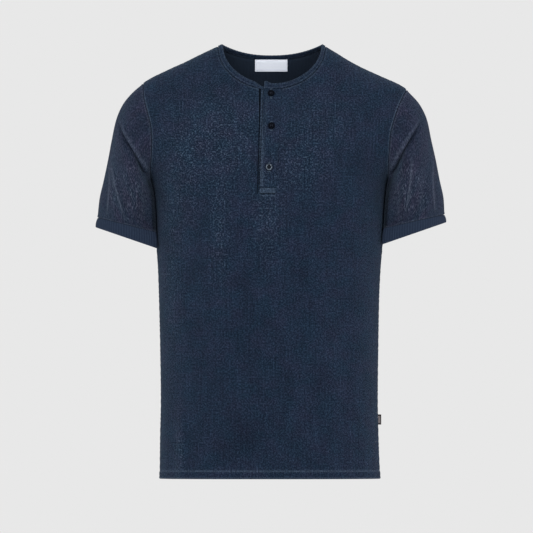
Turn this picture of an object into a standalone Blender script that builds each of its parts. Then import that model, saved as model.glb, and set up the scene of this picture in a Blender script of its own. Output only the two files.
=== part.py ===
"""Collarless short-sleeved shirt (henley) in towelling jersey, hollow, filled out as worn.

Metres, +Z up. The front faces -Y and the wearer's left is +X. The origin lies midway between the
two points where the shoulder seams meet the neckband, the level at which the wearer holds it up.
The front and back are cut from one rounded form, whose half widths and depths stand in SECTIONS.
The sleeves run in rings from the armhole to the cuff. Every wall is an outer face worked out from
these tables, and an inner face one cloth thickness behind it.
"""

import math
from collections import namedtuple

import bmesh
import bpy
import numpy as np
from mathutils import Vector

RIGHT, LEFT = -1, 1       # the wearer's sides, by the sign of x
FRONT, BACK = -1, 1       # by the sign of y

# ---- driving dimensions, metres -------------------------------------------------------------
CLOTH = 0.0020            # towelling jersey, pile included
SEAM_GAP = 0.0003         # between the edges of two sewn pieces
SQUARENESS = 2.3          # of the body's level sections: 2 is an ellipse

HEM_LEVEL = -0.7170
HEM_HEIGHT = 0.0130
HEM_RISE = 0.0006         # the turned-up hem stands proud of the panel
UNDERARM_LEVEL = -0.2210

NECK_FRONT_DROP = 0.0710  # neckband seam, below the shoulder points
NECK_BACK_DROP = 0.0205
BAND_FRONT_DROP = 0.0627  # free edge of the neckband
BAND_BACK_DROP = 0.0137
BAND_RISE = 0.0035        # its free edge over the shoulder point
BACK_NECK_POWER = 2.3

PLACKET_SLIT_X = -0.0200  # edge of the slit on the wearer's right
PLACKET_TOP_EDGE, PLACKET_TOP_SEAM = -0.0121, 0.0180
PLACKET_FOOT_EDGE, PLACKET_FOOT_SEAM = -0.0197, 0.0093
PLACKET_FOOT_LEVEL = -0.2440
PLACKET_RISE = 0.0005
PLACKET_THICKNESS = 0.0024
PLACKET_BOX = 0.0085      # stitched box at the foot, twice as proud as the strip
PLACKET_STEP = 0.0005     # over which the box falls back to the strip
UNDER_EDGE, UNDER_FAR_EDGE = -0.0280, 0.0120
UNDER_FOOT_LEVEL = -0.2500

BUTTON_DIAMETER = 0.0112
BUTTON_THICKNESS = 0.0024
BUTTON_HOLE = 0.0015
BUTTON_HOLE_SPREAD = 0.0012
# Half a button's outline, from the middle of its face to the middle of its back.
ButtonPoint = namedtuple("ButtonPoint", "reach height")
BUTTON_PROFILE = (
    ButtonPoint(0.00, 0.35), ButtonPoint(0.50, 0.35), ButtonPoint(0.66, 0.95),
    ButtonPoint(0.86, 1.00), ButtonPoint(1.00, 0.35), ButtonPoint(1.00, -0.35),
    ButtonPoint(0.80, -1.00), ButtonPoint(0.00, -1.00),
)
Button = namedtuple("Button", "x level")
BUTTONS = (Button(0.0002, -0.0785), Button(0.0007, -0.1326), Button(-0.0032, -0.2003))

CUFF_RIBS = 144
RIB_HEIGHT = 0.0004
CUFF_INSET = 0.0008       # the band grips a little tighter than the sleeve's end

LABEL_LEFT, LABEL_RIGHT = -0.0266, 0.0274
LABEL_TOP, LABEL_FOOT = -0.0215, -0.0395
LABEL_THICKNESS = 0.0006
TAG_TOP, TAG_FOOT = -0.6103, -0.6272
TAG_REACH = 0.0053
TAG_THICKNESS = 0.0012
CREASE = math.radians(40) # edges sharper than this are not shaded smooth

# ---- how finely each piece is divided -------------------------------------------------------
HALF_CELLS = 15           # from the middle of a panel to its side
NECK_CELLS = {FRONT: 7, BACK: 8}  # along half a neckline
ARMHOLE_CELLS = 14        # up half an armhole
SLEEVE_CELLS = 14         # down a sleeve
SLIT_CELLS = 3            # across the front, from edge to edge of the placket's slit
PLACKET_CELLS, PLACKET_ROWS = 4, 12
LABEL_CELLS, LABEL_ROWS = 6, 2
CUFF_INNER_CELLS = 32
BUTTON_SIDES, DRILL_SIDES = 24, 8
BODY_LEVELS = (-0.7033, -0.6600, -0.6150, -0.5700, -0.5200, -0.4700, -0.4250, -0.3850,
               -0.3450, -0.3070, -0.2750, PLACKET_FOOT_LEVEL)

# ---- the body's form ------------------------------------------------------------------------
Section = namedtuple("Section", "level right left front back")
SECTIONS = (
    Section(-0.7170, 0.1842, 0.1805, 0.1150, 0.1150),
    Section(-0.6520, 0.1836, 0.1780, 0.1130, 0.1120),
    Section(-0.5860, 0.1823, 0.1766, 0.1120, 0.1090),
    Section(-0.5000, 0.1834, 0.1775, 0.1125, 0.1060),
    Section(-0.4200, 0.1853, 0.1789, 0.1145, 0.1065),
    Section(-0.3700, 0.1870, 0.1812, 0.1160, 0.1085),
    Section(-0.3340, 0.1893, 0.1842, 0.1172, 0.1105),
    Section(-0.3070, 0.1908, 0.1864, 0.1178, 0.1120),
    Section(-0.2700, 0.1923, 0.1886, 0.1180, 0.1138),
    Section(-0.2450, 0.1944, 0.1907, 0.1176, 0.1147),
    Section(-0.2210, 0.2000, 0.1945, 0.1165, 0.1150),
    Section(-0.2000, 0.2120, 0.2070, 0.1148, 0.1148),
    Section(-0.1750, 0.2245, 0.2215, 0.1105, 0.1135),
    Section(-0.1450, 0.2325, 0.2315, 0.1020, 0.1105),
    Section(-0.1150, 0.2345, 0.2350, 0.0890, 0.1045),
    Section(-0.0900, 0.2295, 0.2330, 0.0765, 0.0965),
    Section(-0.0718, 0.2215, 0.2249, 0.0665, 0.0890),
    Section(-0.0615, 0.2125, 0.2092, 0.0610, 0.0840),
    Section(-0.0520, 0.1978, 0.1876, 0.0570, 0.0790),
    Section(-0.0400, 0.1728, 0.1606, 0.0520, 0.0720),
    Section(-0.0250, 0.1402, 0.1310, 0.0462, 0.0640),
    Section(-0.0100, 0.1096, 0.1068, 0.0405, 0.0560),
    Section(0.0000, 0.0880, 0.0900, 0.0370, 0.0505),
    Section(0.0035, 0.0800, 0.0840, 0.0355, 0.0485),
    Section(0.0100, 0.0660, 0.0700, 0.0330, 0.0455),
)

# Armholes, as seen from the front, from the shoulder tip to the underarm point.
ArmholeRow = namedtuple("ArmholeRow", "right_x right_z left_x left_z")
ARMHOLE = (
    ArmholeRow(0.2125, -0.0615, 0.2249, -0.0718),
    ArmholeRow(0.2110, -0.0830, 0.2140, -0.0935),
    ArmholeRow(0.2058, -0.1057, 0.2045, -0.1200),
    ArmholeRow(0.1995, -0.1320, 0.1985, -0.1430),
    ArmholeRow(0.1975, -0.1560, 0.1962, -0.1680),
    ArmholeRow(0.1985, -0.1820, 0.1948, -0.1920),
    ArmholeRow(0.2000, -0.2050, 0.1942, -0.2100),
    ArmholeRow(0.2000, -0.2210, 0.1945, -0.2210),
)

# Sleeves: each row is a ring. Outer and inner are its two edges as seen from the front.
Ring = namedtuple("Ring", "share outer_x outer_z inner_x inner_z front back")
SLEEVE_RINGS = {
    RIGHT: (
        Ring(0.00, 0.2125, -0.0615, 0.2003, -0.2210, 0.0640, 0.0680),
        Ring(0.10, 0.2307, -0.0773, 0.1992, -0.2290, 0.0670, 0.0710),
        Ring(0.20, 0.2463, -0.0967, 0.1976, -0.2370, 0.0700, 0.0730),
        Ring(0.32, 0.2571, -0.1216, 0.1963, -0.2470, 0.0715, 0.0735),
        Ring(0.46, 0.2644, -0.1548, 0.1953, -0.2590, 0.0710, 0.0730),
        Ring(0.60, 0.2706, -0.1880, 0.1946, -0.2710, 0.0680, 0.0700),
        Ring(0.74, 0.2776, -0.2212, 0.1942, -0.2830, 0.0635, 0.0650),
        Ring(0.88, 0.2850, -0.2544, 0.1939, -0.2960, 0.0575, 0.0590),
        Ring(1.00, 0.2880, -0.2835, 0.1936, -0.3070, 0.0525, 0.0535),
    ),
    LEFT: (
        Ring(0.00, 0.2249, -0.0718, 0.1948, -0.2210, 0.0640, 0.0680),
        Ring(0.15, 0.2472, -0.0967, 0.1940, -0.2330, 0.0690, 0.0720),
        Ring(0.27, 0.2590, -0.1216, 0.1930, -0.2425, 0.0715, 0.0735),
        Ring(0.43, 0.2661, -0.1548, 0.1921, -0.2550, 0.0710, 0.0730),
        Ring(0.58, 0.2736, -0.1880, 0.1913, -0.2670, 0.0680, 0.0700),
        Ring(0.73, 0.2800, -0.2212, 0.1905, -0.2790, 0.0635, 0.0650),
        Ring(0.88, 0.2868, -0.2544, 0.1894, -0.2915, 0.0575, 0.0590),
        Ring(1.00, 0.2880, -0.2783, 0.1884, -0.3009, 0.0525, 0.0535),
    ),
}
CUFF_ENDS = {
    RIGHT: Ring(1.00, 0.2905, -0.3000, 0.1912, -0.3341, 0.0500, 0.0505),
    LEFT: Ring(1.00, 0.2902, -0.2917, 0.1884, -0.3269, 0.0500, 0.0505),
}
ARMHOLE_REACH = 0.60      # share of the sleeve over which the armhole's own bend dies out

# Largest folds. Places are x and z as seen from the front; rise is out of the cloth, so a
# trough has a negative one. A bowed fold swings sideways by its bow at the middle.
Fold = namedtuple("Fold", "cloth head_x head_z foot_x foot_z half_width rise bow")
FOLDS = (
    Fold("front", -0.100, -0.100, -0.070, -0.235, 0.048, 0.0030, 0.004),
    Fold("front", 0.075, -0.105, 0.055, -0.235, 0.045, 0.0026, -0.004),
    Fold("front", -0.088, -0.225, -0.078, -0.400, 0.017, 0.0024, 0.004),
    Fold("front", -0.010, -0.230, -0.002, -0.345, 0.016, 0.0016, -0.003),
    Fold("front", -0.040, -0.330, -0.026, -0.640, 0.026, -0.0030, -0.006),
    Fold("front", 0.062, -0.270, 0.084, -0.560, 0.022, 0.0020, 0.006),
    Fold("front", 0.112, -0.360, 0.120, -0.640, 0.018, -0.0018, 0.004),
    Fold("front", -0.128, -0.300, -0.118, -0.520, 0.018, -0.0018, -0.005),
    Fold("front", -0.150, -0.600, -0.149, -0.730, 0.012, 0.0026, 0.002),
    Fold("front", 0.030, -0.560, 0.040, -0.730, 0.024, 0.0022, 0.003),
    Fold("back", -0.085, -0.110, -0.075, -0.260, 0.046, 0.0034, 0.004),
    Fold("back", 0.085, -0.110, 0.072, -0.260, 0.046, 0.0032, -0.004),
    Fold("back", 0.000, -0.120, 0.004, -0.420, 0.026, -0.0034, 0.003),
    Fold("back", -0.062, -0.300, -0.090, -0.620, 0.024, 0.0026, -0.007),
    Fold("back", 0.058, -0.320, 0.082, -0.640, 0.024, 0.0024, 0.007),
    Fold("back", -0.128, -0.330, -0.134, -0.560, 0.018, -0.0022, 0.004),
    Fold("back", 0.124, -0.310, 0.130, -0.590, 0.018, -0.0020, -0.004),
    Fold("back", 0.012, -0.540, -0.006, -0.730, 0.026, 0.0024, 0.004),
    Fold("sleeve_right_front", -0.2560, -0.1330, -0.2035, -0.2150, 0.0095, -0.0060, -0.005),
    Fold("sleeve_right_front", -0.2450, -0.1150, -0.2120, -0.1850, 0.0120, 0.0022, -0.003),
    Fold("sleeve_right_front", -0.2690, -0.2000, -0.2790, -0.2900, 0.0080, -0.0022, 0.002),
    Fold("sleeve_right_front", -0.2280, -0.2150, -0.2330, -0.2900, 0.0150, 0.0024, 0.003),
    Fold("sleeve_left_front", 0.2500, -0.1280, 0.2000, -0.2170, 0.0095, -0.0058, 0.005),
    Fold("sleeve_left_front", 0.2400, -0.1120, 0.2090, -0.1850, 0.0120, 0.0022, 0.003),
    Fold("sleeve_left_front", 0.2700, -0.1950, 0.2790, -0.2850, 0.0080, -0.0022, -0.002),
    Fold("sleeve_left_front", 0.2250, -0.2150, 0.2290, -0.2850, 0.0150, 0.0024, -0.003),
    Fold("sleeve_right_back", -0.2540, -0.1360, -0.2050, -0.2120, 0.0100, -0.0050, -0.006),
    Fold("sleeve_right_back", -0.2440, -0.2050, -0.2500, -0.2950, 0.0130, 0.0024, 0.002),
    Fold("sleeve_left_back", 0.2520, -0.1330, 0.2010, -0.2120, 0.0100, -0.0050, 0.006),
    Fold("sleeve_left_back", 0.2420, -0.2050, 0.2470, -0.2900, 0.0130, 0.0024, -0.002),
)
FOLD_TAPER = 0.3          # share of a fold's length over which each of its ends dies out
SEAM_FADE = 0.10          # share of a sleeve, next to its seams, over which folds die out
PANEL_FADE = 0.20         # the same on the front and the back
TURN_AWAY = 0.3           # how far a sleeve's normal leans over before its front folds begin

# Cross-section of the neckband: share from its seam to its free edge, and rise from the form.
BandPoint = namedtuple("BandPoint", "share rise")
BAND_PROFILE = (
    BandPoint(0.035, 0.0003), BandPoint(0.16, 0.0009), BandPoint(0.80, 0.0009),
    BandPoint(1.00, 0.0000), BandPoint(1.00, -0.0016), BandPoint(0.80, -0.0025),
    BandPoint(0.16, -0.0025), BandPoint(0.035, -0.0020),
)
BAND_OVER_END = -0.0114   # x of the end that lies on the upper placket
BAND_UNDER_END = 0.0100   # x of the end that lies beneath it
BAND_SINK = 0.0038        # how far the under end lies back
BAND_SINK_START, BAND_SINK_END = -0.0330, -0.0155
BAND_END_CELLS = 3        # of each end, past the slit's edge

# ---- colours (linear), roughness ------------------------------------------------------------
Finish = namedtuple("Finish", "red green blue roughness")
FINISHES = {
    "terry": Finish(0.017, 0.032, 0.062, 0.95),
    "rib": Finish(0.026, 0.050, 0.092, 0.90),
    "button": Finish(0.006, 0.009, 0.018, 0.35),
    "label": Finish(0.750, 0.760, 0.830, 0.60),
    "tag": Finish(0.020, 0.014, 0.014, 0.60),
}


# ---- curves and the form --------------------------------------------------------------------
def smooth_through(places, values):
    """A monotone cubic curve through table rows whose places rise."""
    places = np.asarray(places, float)
    values = np.asarray(values, float)
    step = np.diff(places)
    rise = np.diff(values) / step
    before, after = rise[:-1], rise[1:]
    same_way = before * after > 0
    weight_before = 2 * step[1:] + step[:-1]
    weight_after = step[1:] + 2 * step[:-1]
    mean = (weight_before + weight_after) / (
        weight_before / np.where(same_way, before, 1) + weight_after / np.where(same_way, after, 1))
    slope = np.concatenate([rise[:1], np.where(same_way, mean, 0), rise[-1:]])

    def at(place):
        place = np.clip(place, places[0], places[-1])
        k = np.clip(np.searchsorted(places, place, side="right") - 1, 0, len(step) - 1)
        t = (place - places[k]) / step[k]
        start = (1 + 2 * t) * (1 - t) ** 2 * values[k] + t * (1 - t) ** 2 * step[k] * slope[k]
        end = t ** 2 * (3 - 2 * t) * values[k + 1] + t ** 2 * (t - 1) * step[k] * slope[k + 1]
        return start + end

    return at


def column(rows, name):
    return [getattr(row, name) for row in rows]


LEVELS = column(SECTIONS, "level")
HALF_WIDTH = {RIGHT: smooth_through(LEVELS, column(SECTIONS, "right")),
              LEFT: smooth_through(LEVELS, column(SECTIONS, "left"))}
DEPTH = {FRONT: smooth_through(LEVELS, column(SECTIONS, "front")),
         BACK: smooth_through(LEVELS, column(SECTIONS, "back"))}


def half_width(x, z):
    return np.where(x < 0, HALF_WIDTH[RIGHT](z), HALF_WIDTH[LEFT](z))


def on_form(x, z, face):
    """The form's point seen at x and z from the front or the back."""
    x, z = np.broadcast_arrays(np.asarray(x, float), np.asarray(z, float))
    share = np.clip(np.abs(x) / half_width(x, z), 0, 1)
    y = face * DEPTH[face](z) * (1 - share ** SQUARENESS) ** (1 / SQUARENESS)
    return np.stack([x, y, z], axis=-1)


def form_normal(points, face):
    """Outward unit normals of the form."""
    x, y, z = np.moveaxis(points, -1, 0)
    small = 0.0005
    width, depth = half_width(x, z), DEPTH[face](z)
    width_slope = (half_width(x, z + small) - half_width(x, z - small)) / (2 * small)
    depth_slope = (DEPTH[face](z + small) - DEPTH[face](z - small)) / (2 * small)
    across = np.clip(np.abs(x) / width, 0, 1)
    along = np.clip(np.abs(y) / depth, 0, 1)
    normal = np.stack([
        np.sign(x) * across ** (SQUARENESS - 1) / width,
        face * along ** (SQUARENESS - 1) / depth,
        -(across ** SQUARENESS * width_slope / width + along ** SQUARENESS * depth_slope / depth),
    ], axis=-1)
    return unit(normal)


def onto_form(points, face):
    """Each point moved level, straight out from the middle, until it lies on the form."""
    x, y, z = np.moveaxis(points, -1, 0)
    reach = (np.abs(x) / half_width(x, z)) ** SQUARENESS + (np.abs(y) / DEPTH[face](z)) ** SQUARENESS
    factor = reach ** (-1 / SQUARENESS)
    return np.stack([x * factor, y * factor, z], axis=-1)


def unit(vectors):
    return vectors / np.linalg.norm(vectors, axis=-1, keepdims=True)


def ease(t):
    t = np.clip(t, 0, 1)
    return t * t * (3 - 2 * t)


def spaced(points, cells):
    """The line through points, cut into cells of one length."""
    lengths = np.linalg.norm(np.diff(points, axis=0), axis=1)
    run = np.concatenate([[0], np.cumsum(lengths)])
    stops = np.linspace(0, run[-1], cells + 1)
    return np.stack([np.interp(stops, run, points[:, k]) for k in range(3)], axis=1)


def fold_rise(cloth, x, z):
    """How far the folds of one cloth lift it at x and z."""
    total = np.zeros(np.shape(x))
    for fold in FOLDS:
        if fold.cloth != cloth:
            continue
        run_x, run_z = fold.foot_x - fold.head_x, fold.foot_z - fold.head_z
        length = math.hypot(run_x, run_z)
        along = ((x - fold.head_x) * run_x + (z - fold.head_z) * run_z) / length ** 2
        across = ((x - fold.head_x) * run_z - (z - fold.head_z) * run_x) / length
        middle = np.clip(along, 0, 1)
        across = across + fold.bow * 4 * middle * (1 - middle)
        taper = ease(along / FOLD_TAPER) * ease((1 - along) / FOLD_TAPER)
        total = total + fold.rise * taper * np.exp(-(across / fold.half_width) ** 2)
    return total


# ---- edges of the pieces --------------------------------------------------------------------
FINE = 400                # points on an edge before it is cut into cells
TURN = (1 - np.cos(np.linspace(0, math.pi, FINE))) / 2


def armhole_edge(side, face):
    """Underarm to shoulder tip."""
    across, level = ("right_x", "right_z") if side == RIGHT else ("left_x", "left_z")
    x, z = np.array(column(ARMHOLE, across)), np.array(column(ARMHOLE, level))
    run = np.concatenate([[0], np.cumsum(np.hypot(np.diff(x), np.diff(z)))])
    share = run / run[-1]
    edge = on_form(side * smooth_through(share, x)(TURN), smooth_through(share, z)(TURN), face)
    edge[0, 1] = edge[-1, 1] = 0
    return spaced(edge[::-1], ARMHOLE_CELLS)


def front_neck(side, turn):
    """Seam of neckband and front: a turn of 0 is the shoulder point, a quarter turn the middle."""
    return side * HALF_WIDTH[side](0) * np.cos(turn), -NECK_FRONT_DROP * np.sin(turn)


def back_neck(side, turn):
    half = HALF_WIDTH[side](0)
    x = half * np.cos(turn)
    return side * x, -NECK_BACK_DROP * (1 - (x / half) ** BACK_NECK_POWER)


def front_neck_level(x):
    side = np.where(np.asarray(x) < 0, RIGHT, LEFT)
    half = np.where(side == RIGHT, HALF_WIDTH[RIGHT](0), HALF_WIDTH[LEFT](0))
    return -NECK_FRONT_DROP * np.sqrt(1 - (x / half) ** 2)


def slit_seam_x(z):
    """Edge of the slit on the wearer's left, where the upper placket is sewn in."""
    share = np.clip((z + NECK_FRONT_DROP) / (PLACKET_FOOT_LEVEL + NECK_FRONT_DROP), 0, 1)
    return PLACKET_TOP_SEAM + (PLACKET_FOOT_SEAM - PLACKET_TOP_SEAM) * share


def middle_x(side, face, z):
    """Where a half panel starts: at the slit's edge in front, in the middle at the back."""
    if face == BACK:
        return np.zeros(np.shape(z))
    return np.full(np.shape(z), PLACKET_SLIT_X) if side == RIGHT else slit_seam_x(z)


def neck_edge(side, face):
    """Half a neckline, from the middle of the panel to the shoulder point."""
    neck = front_neck if face == FRONT else back_neck
    start = abs(float(middle_x(side, face, -NECK_FRONT_DROP)))
    turns = math.acos(start / HALF_WIDTH[side](0)) * (1 - TURN)
    edge = on_form(*neck(side, turns), face)
    edge[-1, 1] = 0
    return spaced(edge, NECK_CELLS[face])


def shoulder_edge(side, cells):
    """From the shoulder point to the shoulder tip."""
    tip = ARMHOLE[0].right_z if side == RIGHT else ARMHOLE[0].left_z
    levels = tip * TURN
    return spaced(np.stack([side * HALF_WIDTH[side](levels), 0 * levels, levels], axis=1), cells)


def level_edge(side, face, z):
    """A level section of the form, from the middle to the side seam."""
    start = float(middle_x(side, face, z))
    end = side * float(HALF_WIDTH[side](z))
    x = start + (end - start) * np.sin(np.linspace(0, math.pi / 2, FINE))
    line = on_form(x, z, face)
    line[-1, 1] = 0
    return spaced(line, HALF_CELLS)


def upper_half(side, face):
    """Half a panel over the underarm level: a patch between its four edges, laid on the form.

    In front the neckline belongs to the edge near the middle, at the back to the top edge.
    """
    neck, arm = neck_edge(side, face), armhole_edge(side, face)
    base = level_edge(side, face, UNDERARM_LEVEL)
    levels = np.linspace(UNDERARM_LEVEL, neck[0, 2], FINE)
    middle = on_form(middle_x(side, face, levels), levels, face)
    if face == FRONT:
        middle = np.concatenate([spaced(middle, ARMHOLE_CELLS - NECK_CELLS[FRONT]), neck[1:]])
        top = shoulder_edge(side, HALF_CELLS)
    else:
        middle = spaced(middle, ARMHOLE_CELLS)
        top = np.concatenate([neck, shoulder_edge(side, HALF_CELLS - NECK_CELLS[BACK])[1:]])
    u = np.linspace(0, 1, HALF_CELLS + 1)[None, :, None]
    v = np.linspace(0, 1, ARMHOLE_CELLS + 1)[:, None, None]
    corners = ((1 - u) * (1 - v) * base[0] + u * (1 - v) * base[-1]
               + (1 - u) * v * top[0] + u * v * top[-1])
    patch = ((1 - v) * base + v * top + (1 - u) * middle[:, None] + u * arm[:, None] - corners)
    patch[1:-1, 1:-1] = onto_form(patch[1:-1, 1:-1], face)
    return patch


def half_panel(side, face):
    lower = [level_edge(side, face, z) for z in (HEM_LEVEL, HEM_LEVEL + HEM_HEIGHT) + BODY_LEVELS]
    return np.concatenate([np.array(lower), upper_half(side, face)])


# ---- walls ----------------------------------------------------------------------------------
def shirt_collection():
    made = bpy.data.collections.new("henley_shirt")
    bpy.context.scene.collection.children.link(made)
    return made


def finish_material(slot):
    made = bpy.data.materials.get(slot)
    if made is None:
        finish = FINISHES[slot]
        made = bpy.data.materials.new(slot)
        made.use_nodes = True
        shader = made.node_tree.nodes["Principled BSDF"]
        shader.inputs["Base Color"].default_value = (finish.red, finish.green, finish.blue, 1)
        shader.inputs["Roughness"].default_value = finish.roughness
        shader.inputs["Metallic"].default_value = 0
    return made


def piece_from(shape, name, slot, collection):
    """One object from a bmesh, closed, faces out."""
    bmesh.ops.recalc_face_normals(shape, faces=shape.faces)
    mesh = bpy.data.meshes.new(name)
    shape.to_mesh(mesh)
    shape.free()
    made = bpy.data.objects.new(name, mesh)
    collection.objects.link(made)
    mesh.materials.append(finish_material(slot))
    mesh.shade_smooth()
    mesh.set_sharp_from_angle(angle=CREASE)
    return made


def rim(shape, start, end, start_in, end_in):
    """Closes a wall's edge, split from its lower outer end: two sewn rims then twist alike."""
    if start.co.z <= end.co.z:
        shape.faces.new([start, end, end_in])
        shape.faces.new([start, end_in, start_in])
    else:
        shape.faces.new([end, end_in, start_in])
        shape.faces.new([end, start_in, start])


def cloth_wall(outer, inner, wrap=False, cut_out=None):
    """A closed wall between two grids of points; cut_out marks cells that are left open."""
    shape = bmesh.new()
    rows, columns = outer.shape[:2]
    across = columns if wrap else columns - 1
    corners = {}

    def corner(layer, i, j):
        key = (layer, i, j % columns)
        if key not in corners:
            grid = outer if layer == 0 else inner
            corners[key] = shape.verts.new(grid[i, j % columns])
        return corners[key]

    sides = {}
    for i in range(rows - 1):
        for j in range(across):
            if cut_out is not None and cut_out[i, j]:
                continue
            ring = [(i, j), (i, (j + 1) % columns), (i + 1, (j + 1) % columns), (i + 1, j)]
            shape.faces.new([corner(0, *at) for at in ring])
            shape.faces.new([corner(1, *at) for at in (ring[0], ring[3], ring[2], ring[1])])
            for start, end in zip(ring, ring[1:] + ring[:1]):
                sides[(start, end)] = (end, start) in sides
                if (end, start) in sides:
                    sides[(end, start)] = True
    for (start, end), shared in sides.items():
        if not shared:
            rim(shape, corner(0, *start), corner(0, *end), corner(1, *start), corner(1, *end))
    bmesh.ops.triangulate(shape, faces=shape.faces, quad_method="FIXED")
    return shape


def grid_normals(points, wrap):
    """Unit normals of a grid, by its neighbours. The grid wraps round along its columns."""
    down = np.gradient(points, axis=0)
    if wrap:
        around = np.roll(points, -1, axis=1) - np.roll(points, 1, axis=1)
    else:
        around = np.gradient(points, axis=1)
    return unit(np.cross(down, around))


def shared_direction(own, other):
    """At a seam both walls lean to the seam's middle plane, less where the cloth folds back."""
    likeness = np.clip(np.sum(own * other, axis=-1, keepdims=True), 0, 1)
    return unit(own + other * likeness)


# ---- sleeves --------------------------------------------------------------------------------
def ring_points(side, ring):
    """Front half from the outer edge to the inner one, then the back half home again."""
    outer = np.array([side * ring.outer_x, 0, ring.outer_z])
    inner = np.array([side * ring.inner_x, 0, ring.inner_z])
    centre, reach = (outer + inner) / 2, (outer - inner) / 2
    turn = np.linspace(0, math.pi, FINE)[:, None]
    deep = np.array([0, 1, 0])
    front = spaced(centre + reach * np.cos(turn) - deep * ring.front * np.sin(turn), ARMHOLE_CELLS)
    back = spaced(centre + reach * np.cos(turn) + deep * ring.back * np.sin(turn), ARMHOLE_CELLS)
    return np.concatenate([front, back[-2:0:-1]])


def armhole_loop(side):
    front = armhole_edge(side, FRONT)[::-1]
    back = armhole_edge(side, BACK)[::-1]
    return np.concatenate([front, back[-2:0:-1]])


def sleeve_grid(side):
    rings = SLEEVE_RINGS[side]
    shares = column(rings, "share")
    curves = [smooth_through(shares, column(rings, name)) for name in Ring._fields[1:]]
    stops = np.linspace(0, 1, SLEEVE_CELLS + 1)
    grid = np.array([ring_points(side, Ring(s, *[curve(s) for curve in curves])) for s in stops])
    bend = armhole_loop(side) + np.array([side * SEAM_GAP, 0, 0]) - grid[0]
    fading = np.clip(1 - stops / ARMHOLE_REACH, 0, 1) ** 2
    return grid + bend * fading[:, None, None]


def sleeve_normals(side, grid):
    return grid_normals(grid, wrap=True) * -side


def folded_sleeve(side):
    """The sleeve's outer points with its folds, and the normals they were moved along."""
    grid = sleeve_grid(side)
    normals = sleeve_normals(side, grid)
    name = "sleeve_right" if side == RIGHT else "sleeve_left"
    shares = np.linspace(0, 1, SLEEVE_CELLS + 1)[:, None]
    fading = ease(shares / SEAM_FADE) * ease((1 - shares) / SEAM_FADE)
    x, z = grid[..., 0], grid[..., 2]
    facing = ease(-normals[..., 1] / TURN_AWAY) * fold_rise(name + "_front", x, z)
    behind = ease(normals[..., 1] / TURN_AWAY) * fold_rise(name + "_back", x, z)
    return grid + normals * (fading * (facing + behind))[..., None], normals


def in_ring_plane(vectors, line):
    """The vectors, laid into the plane of a ring, which holds the y axis."""
    across = unit(line[0] - line[len(line) // 2])
    normal = np.cross(across, (0, 1, 0))
    return unit(vectors - normal * (vectors @ normal)[:, None])


def make_sleeve(side, collection):
    outer, normals = folded_sleeve(side)
    lean = normals.copy()
    loop = armhole_loop(side)
    half = ARMHOLE_CELLS + 1
    body = np.concatenate([form_normal(loop[:half], FRONT), form_normal(loop[half:], BACK)])
    lean[0] = shared_direction(normals[0], body)
    lean[-1] = in_ring_plane(lean[-1], outer[-1])
    name = "sleeve_right" if side == RIGHT else "sleeve_left"
    shape = cloth_wall(outer, outer - lean * CLOTH, wrap=True)
    return piece_from(shape, name, "terry", collection)


def make_cuff(side, collection):
    """A ribbed band: ribs in the outer points, over a plain inside."""
    start, end = SLEEVE_RINGS[side][-1], CUFF_ENDS[side]
    top, foot = ring_points(side, start), ring_points(side, end)
    top = top + unit(foot.mean(axis=0) - top.mean(axis=0)) * SEAM_GAP
    shape = bmesh.new()

    def band_ring(line, count, inward, ribbed):
        closed = np.concatenate([line, line[:1]])
        places = spaced(closed, count)[:-1]
        out = in_ring_plane(places - line.mean(axis=0), line)
        rise = RIB_HEIGHT * (np.arange(count) % 2) if ribbed else np.zeros(count)
        return [shape.verts.new(place) for place in places + out * (rise - inward)[:, None]]

    def zip_rings(one, other):
        """Triangles between two rings whose counts may differ."""
        i = j = 0
        while i < len(one) or j < len(other):
            if j >= len(other) or (i < len(one) and (i + 1) * len(other) <= (j + 1) * len(one)):
                ends = [one[i % len(one)], one[(i + 1) % len(one)], other[j % len(other)]]
                i += 1
            else:
                ends = [one[i % len(one)], other[(j + 1) % len(other)], other[j % len(other)]]
                j += 1
            shape.faces.new(ends)

    columns = 2 * CUFF_RIBS
    rings = [band_ring(top, columns, CUFF_INSET, True), band_ring(foot, columns, 0, True),
             band_ring(foot, CUFF_INNER_CELLS, CLOTH, False),
             band_ring(top, CUFF_INNER_CELLS, CUFF_INSET + CLOTH, False)]
    for one, other in zip(rings, rings[1:] + rings[:1]):
        zip_rings(one, other)
    name = "cuff_right" if side == RIGHT else "cuff_left"
    return piece_from(shape, name, "rib", collection)


# ---- front and back -------------------------------------------------------------------------
def panel_lean(side, face, points):
    """Directions through the wall of half a panel; at the armhole they suit the sleeve's."""
    lean = form_normal(points, face)
    sleeve = sleeve_normals(side, sleeve_grid(side))[0]
    loop = sleeve[:ARMHOLE_CELLS + 1] if face == FRONT else np.roll(sleeve[::-1], 1, axis=0)
    around = loop[:ARMHOLE_CELLS + 1][::-1]
    rows = slice(len(points) - ARMHOLE_CELLS - 1, None)
    lean[rows, -1] = shared_direction(lean[rows, -1], around)
    return lean


def folded_half(side, face):
    """Outer points and wall directions of half a panel, from the middle to the side."""
    points = half_panel(side, face)
    lean = panel_lean(side, face, points)
    rows, columns = points.shape[:2]
    u = np.linspace(0, 1, columns)[None, :]
    from_top = np.arange(rows - 1, -1, -1)[:, None] / ARMHOLE_CELLS
    fading = ease((1 - u) / PANEL_FADE) * ease(from_top / PANEL_FADE)
    cloth = "front" if face == FRONT else "back"
    rise = fading * fold_rise(cloth, points[..., 0], points[..., 2])
    rise[:2] += HEM_RISE
    shift = np.array([0, face * SEAM_GAP / 2, 0])
    return points + lean * rise[..., None] + shift, lean


def wall_depth(points):
    """The hem is two layers, so its outer points stand further from the same plain inside."""
    depth = np.full(points.shape[:2], CLOTH)
    depth[:2] += HEM_RISE
    return depth[..., None]


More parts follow.
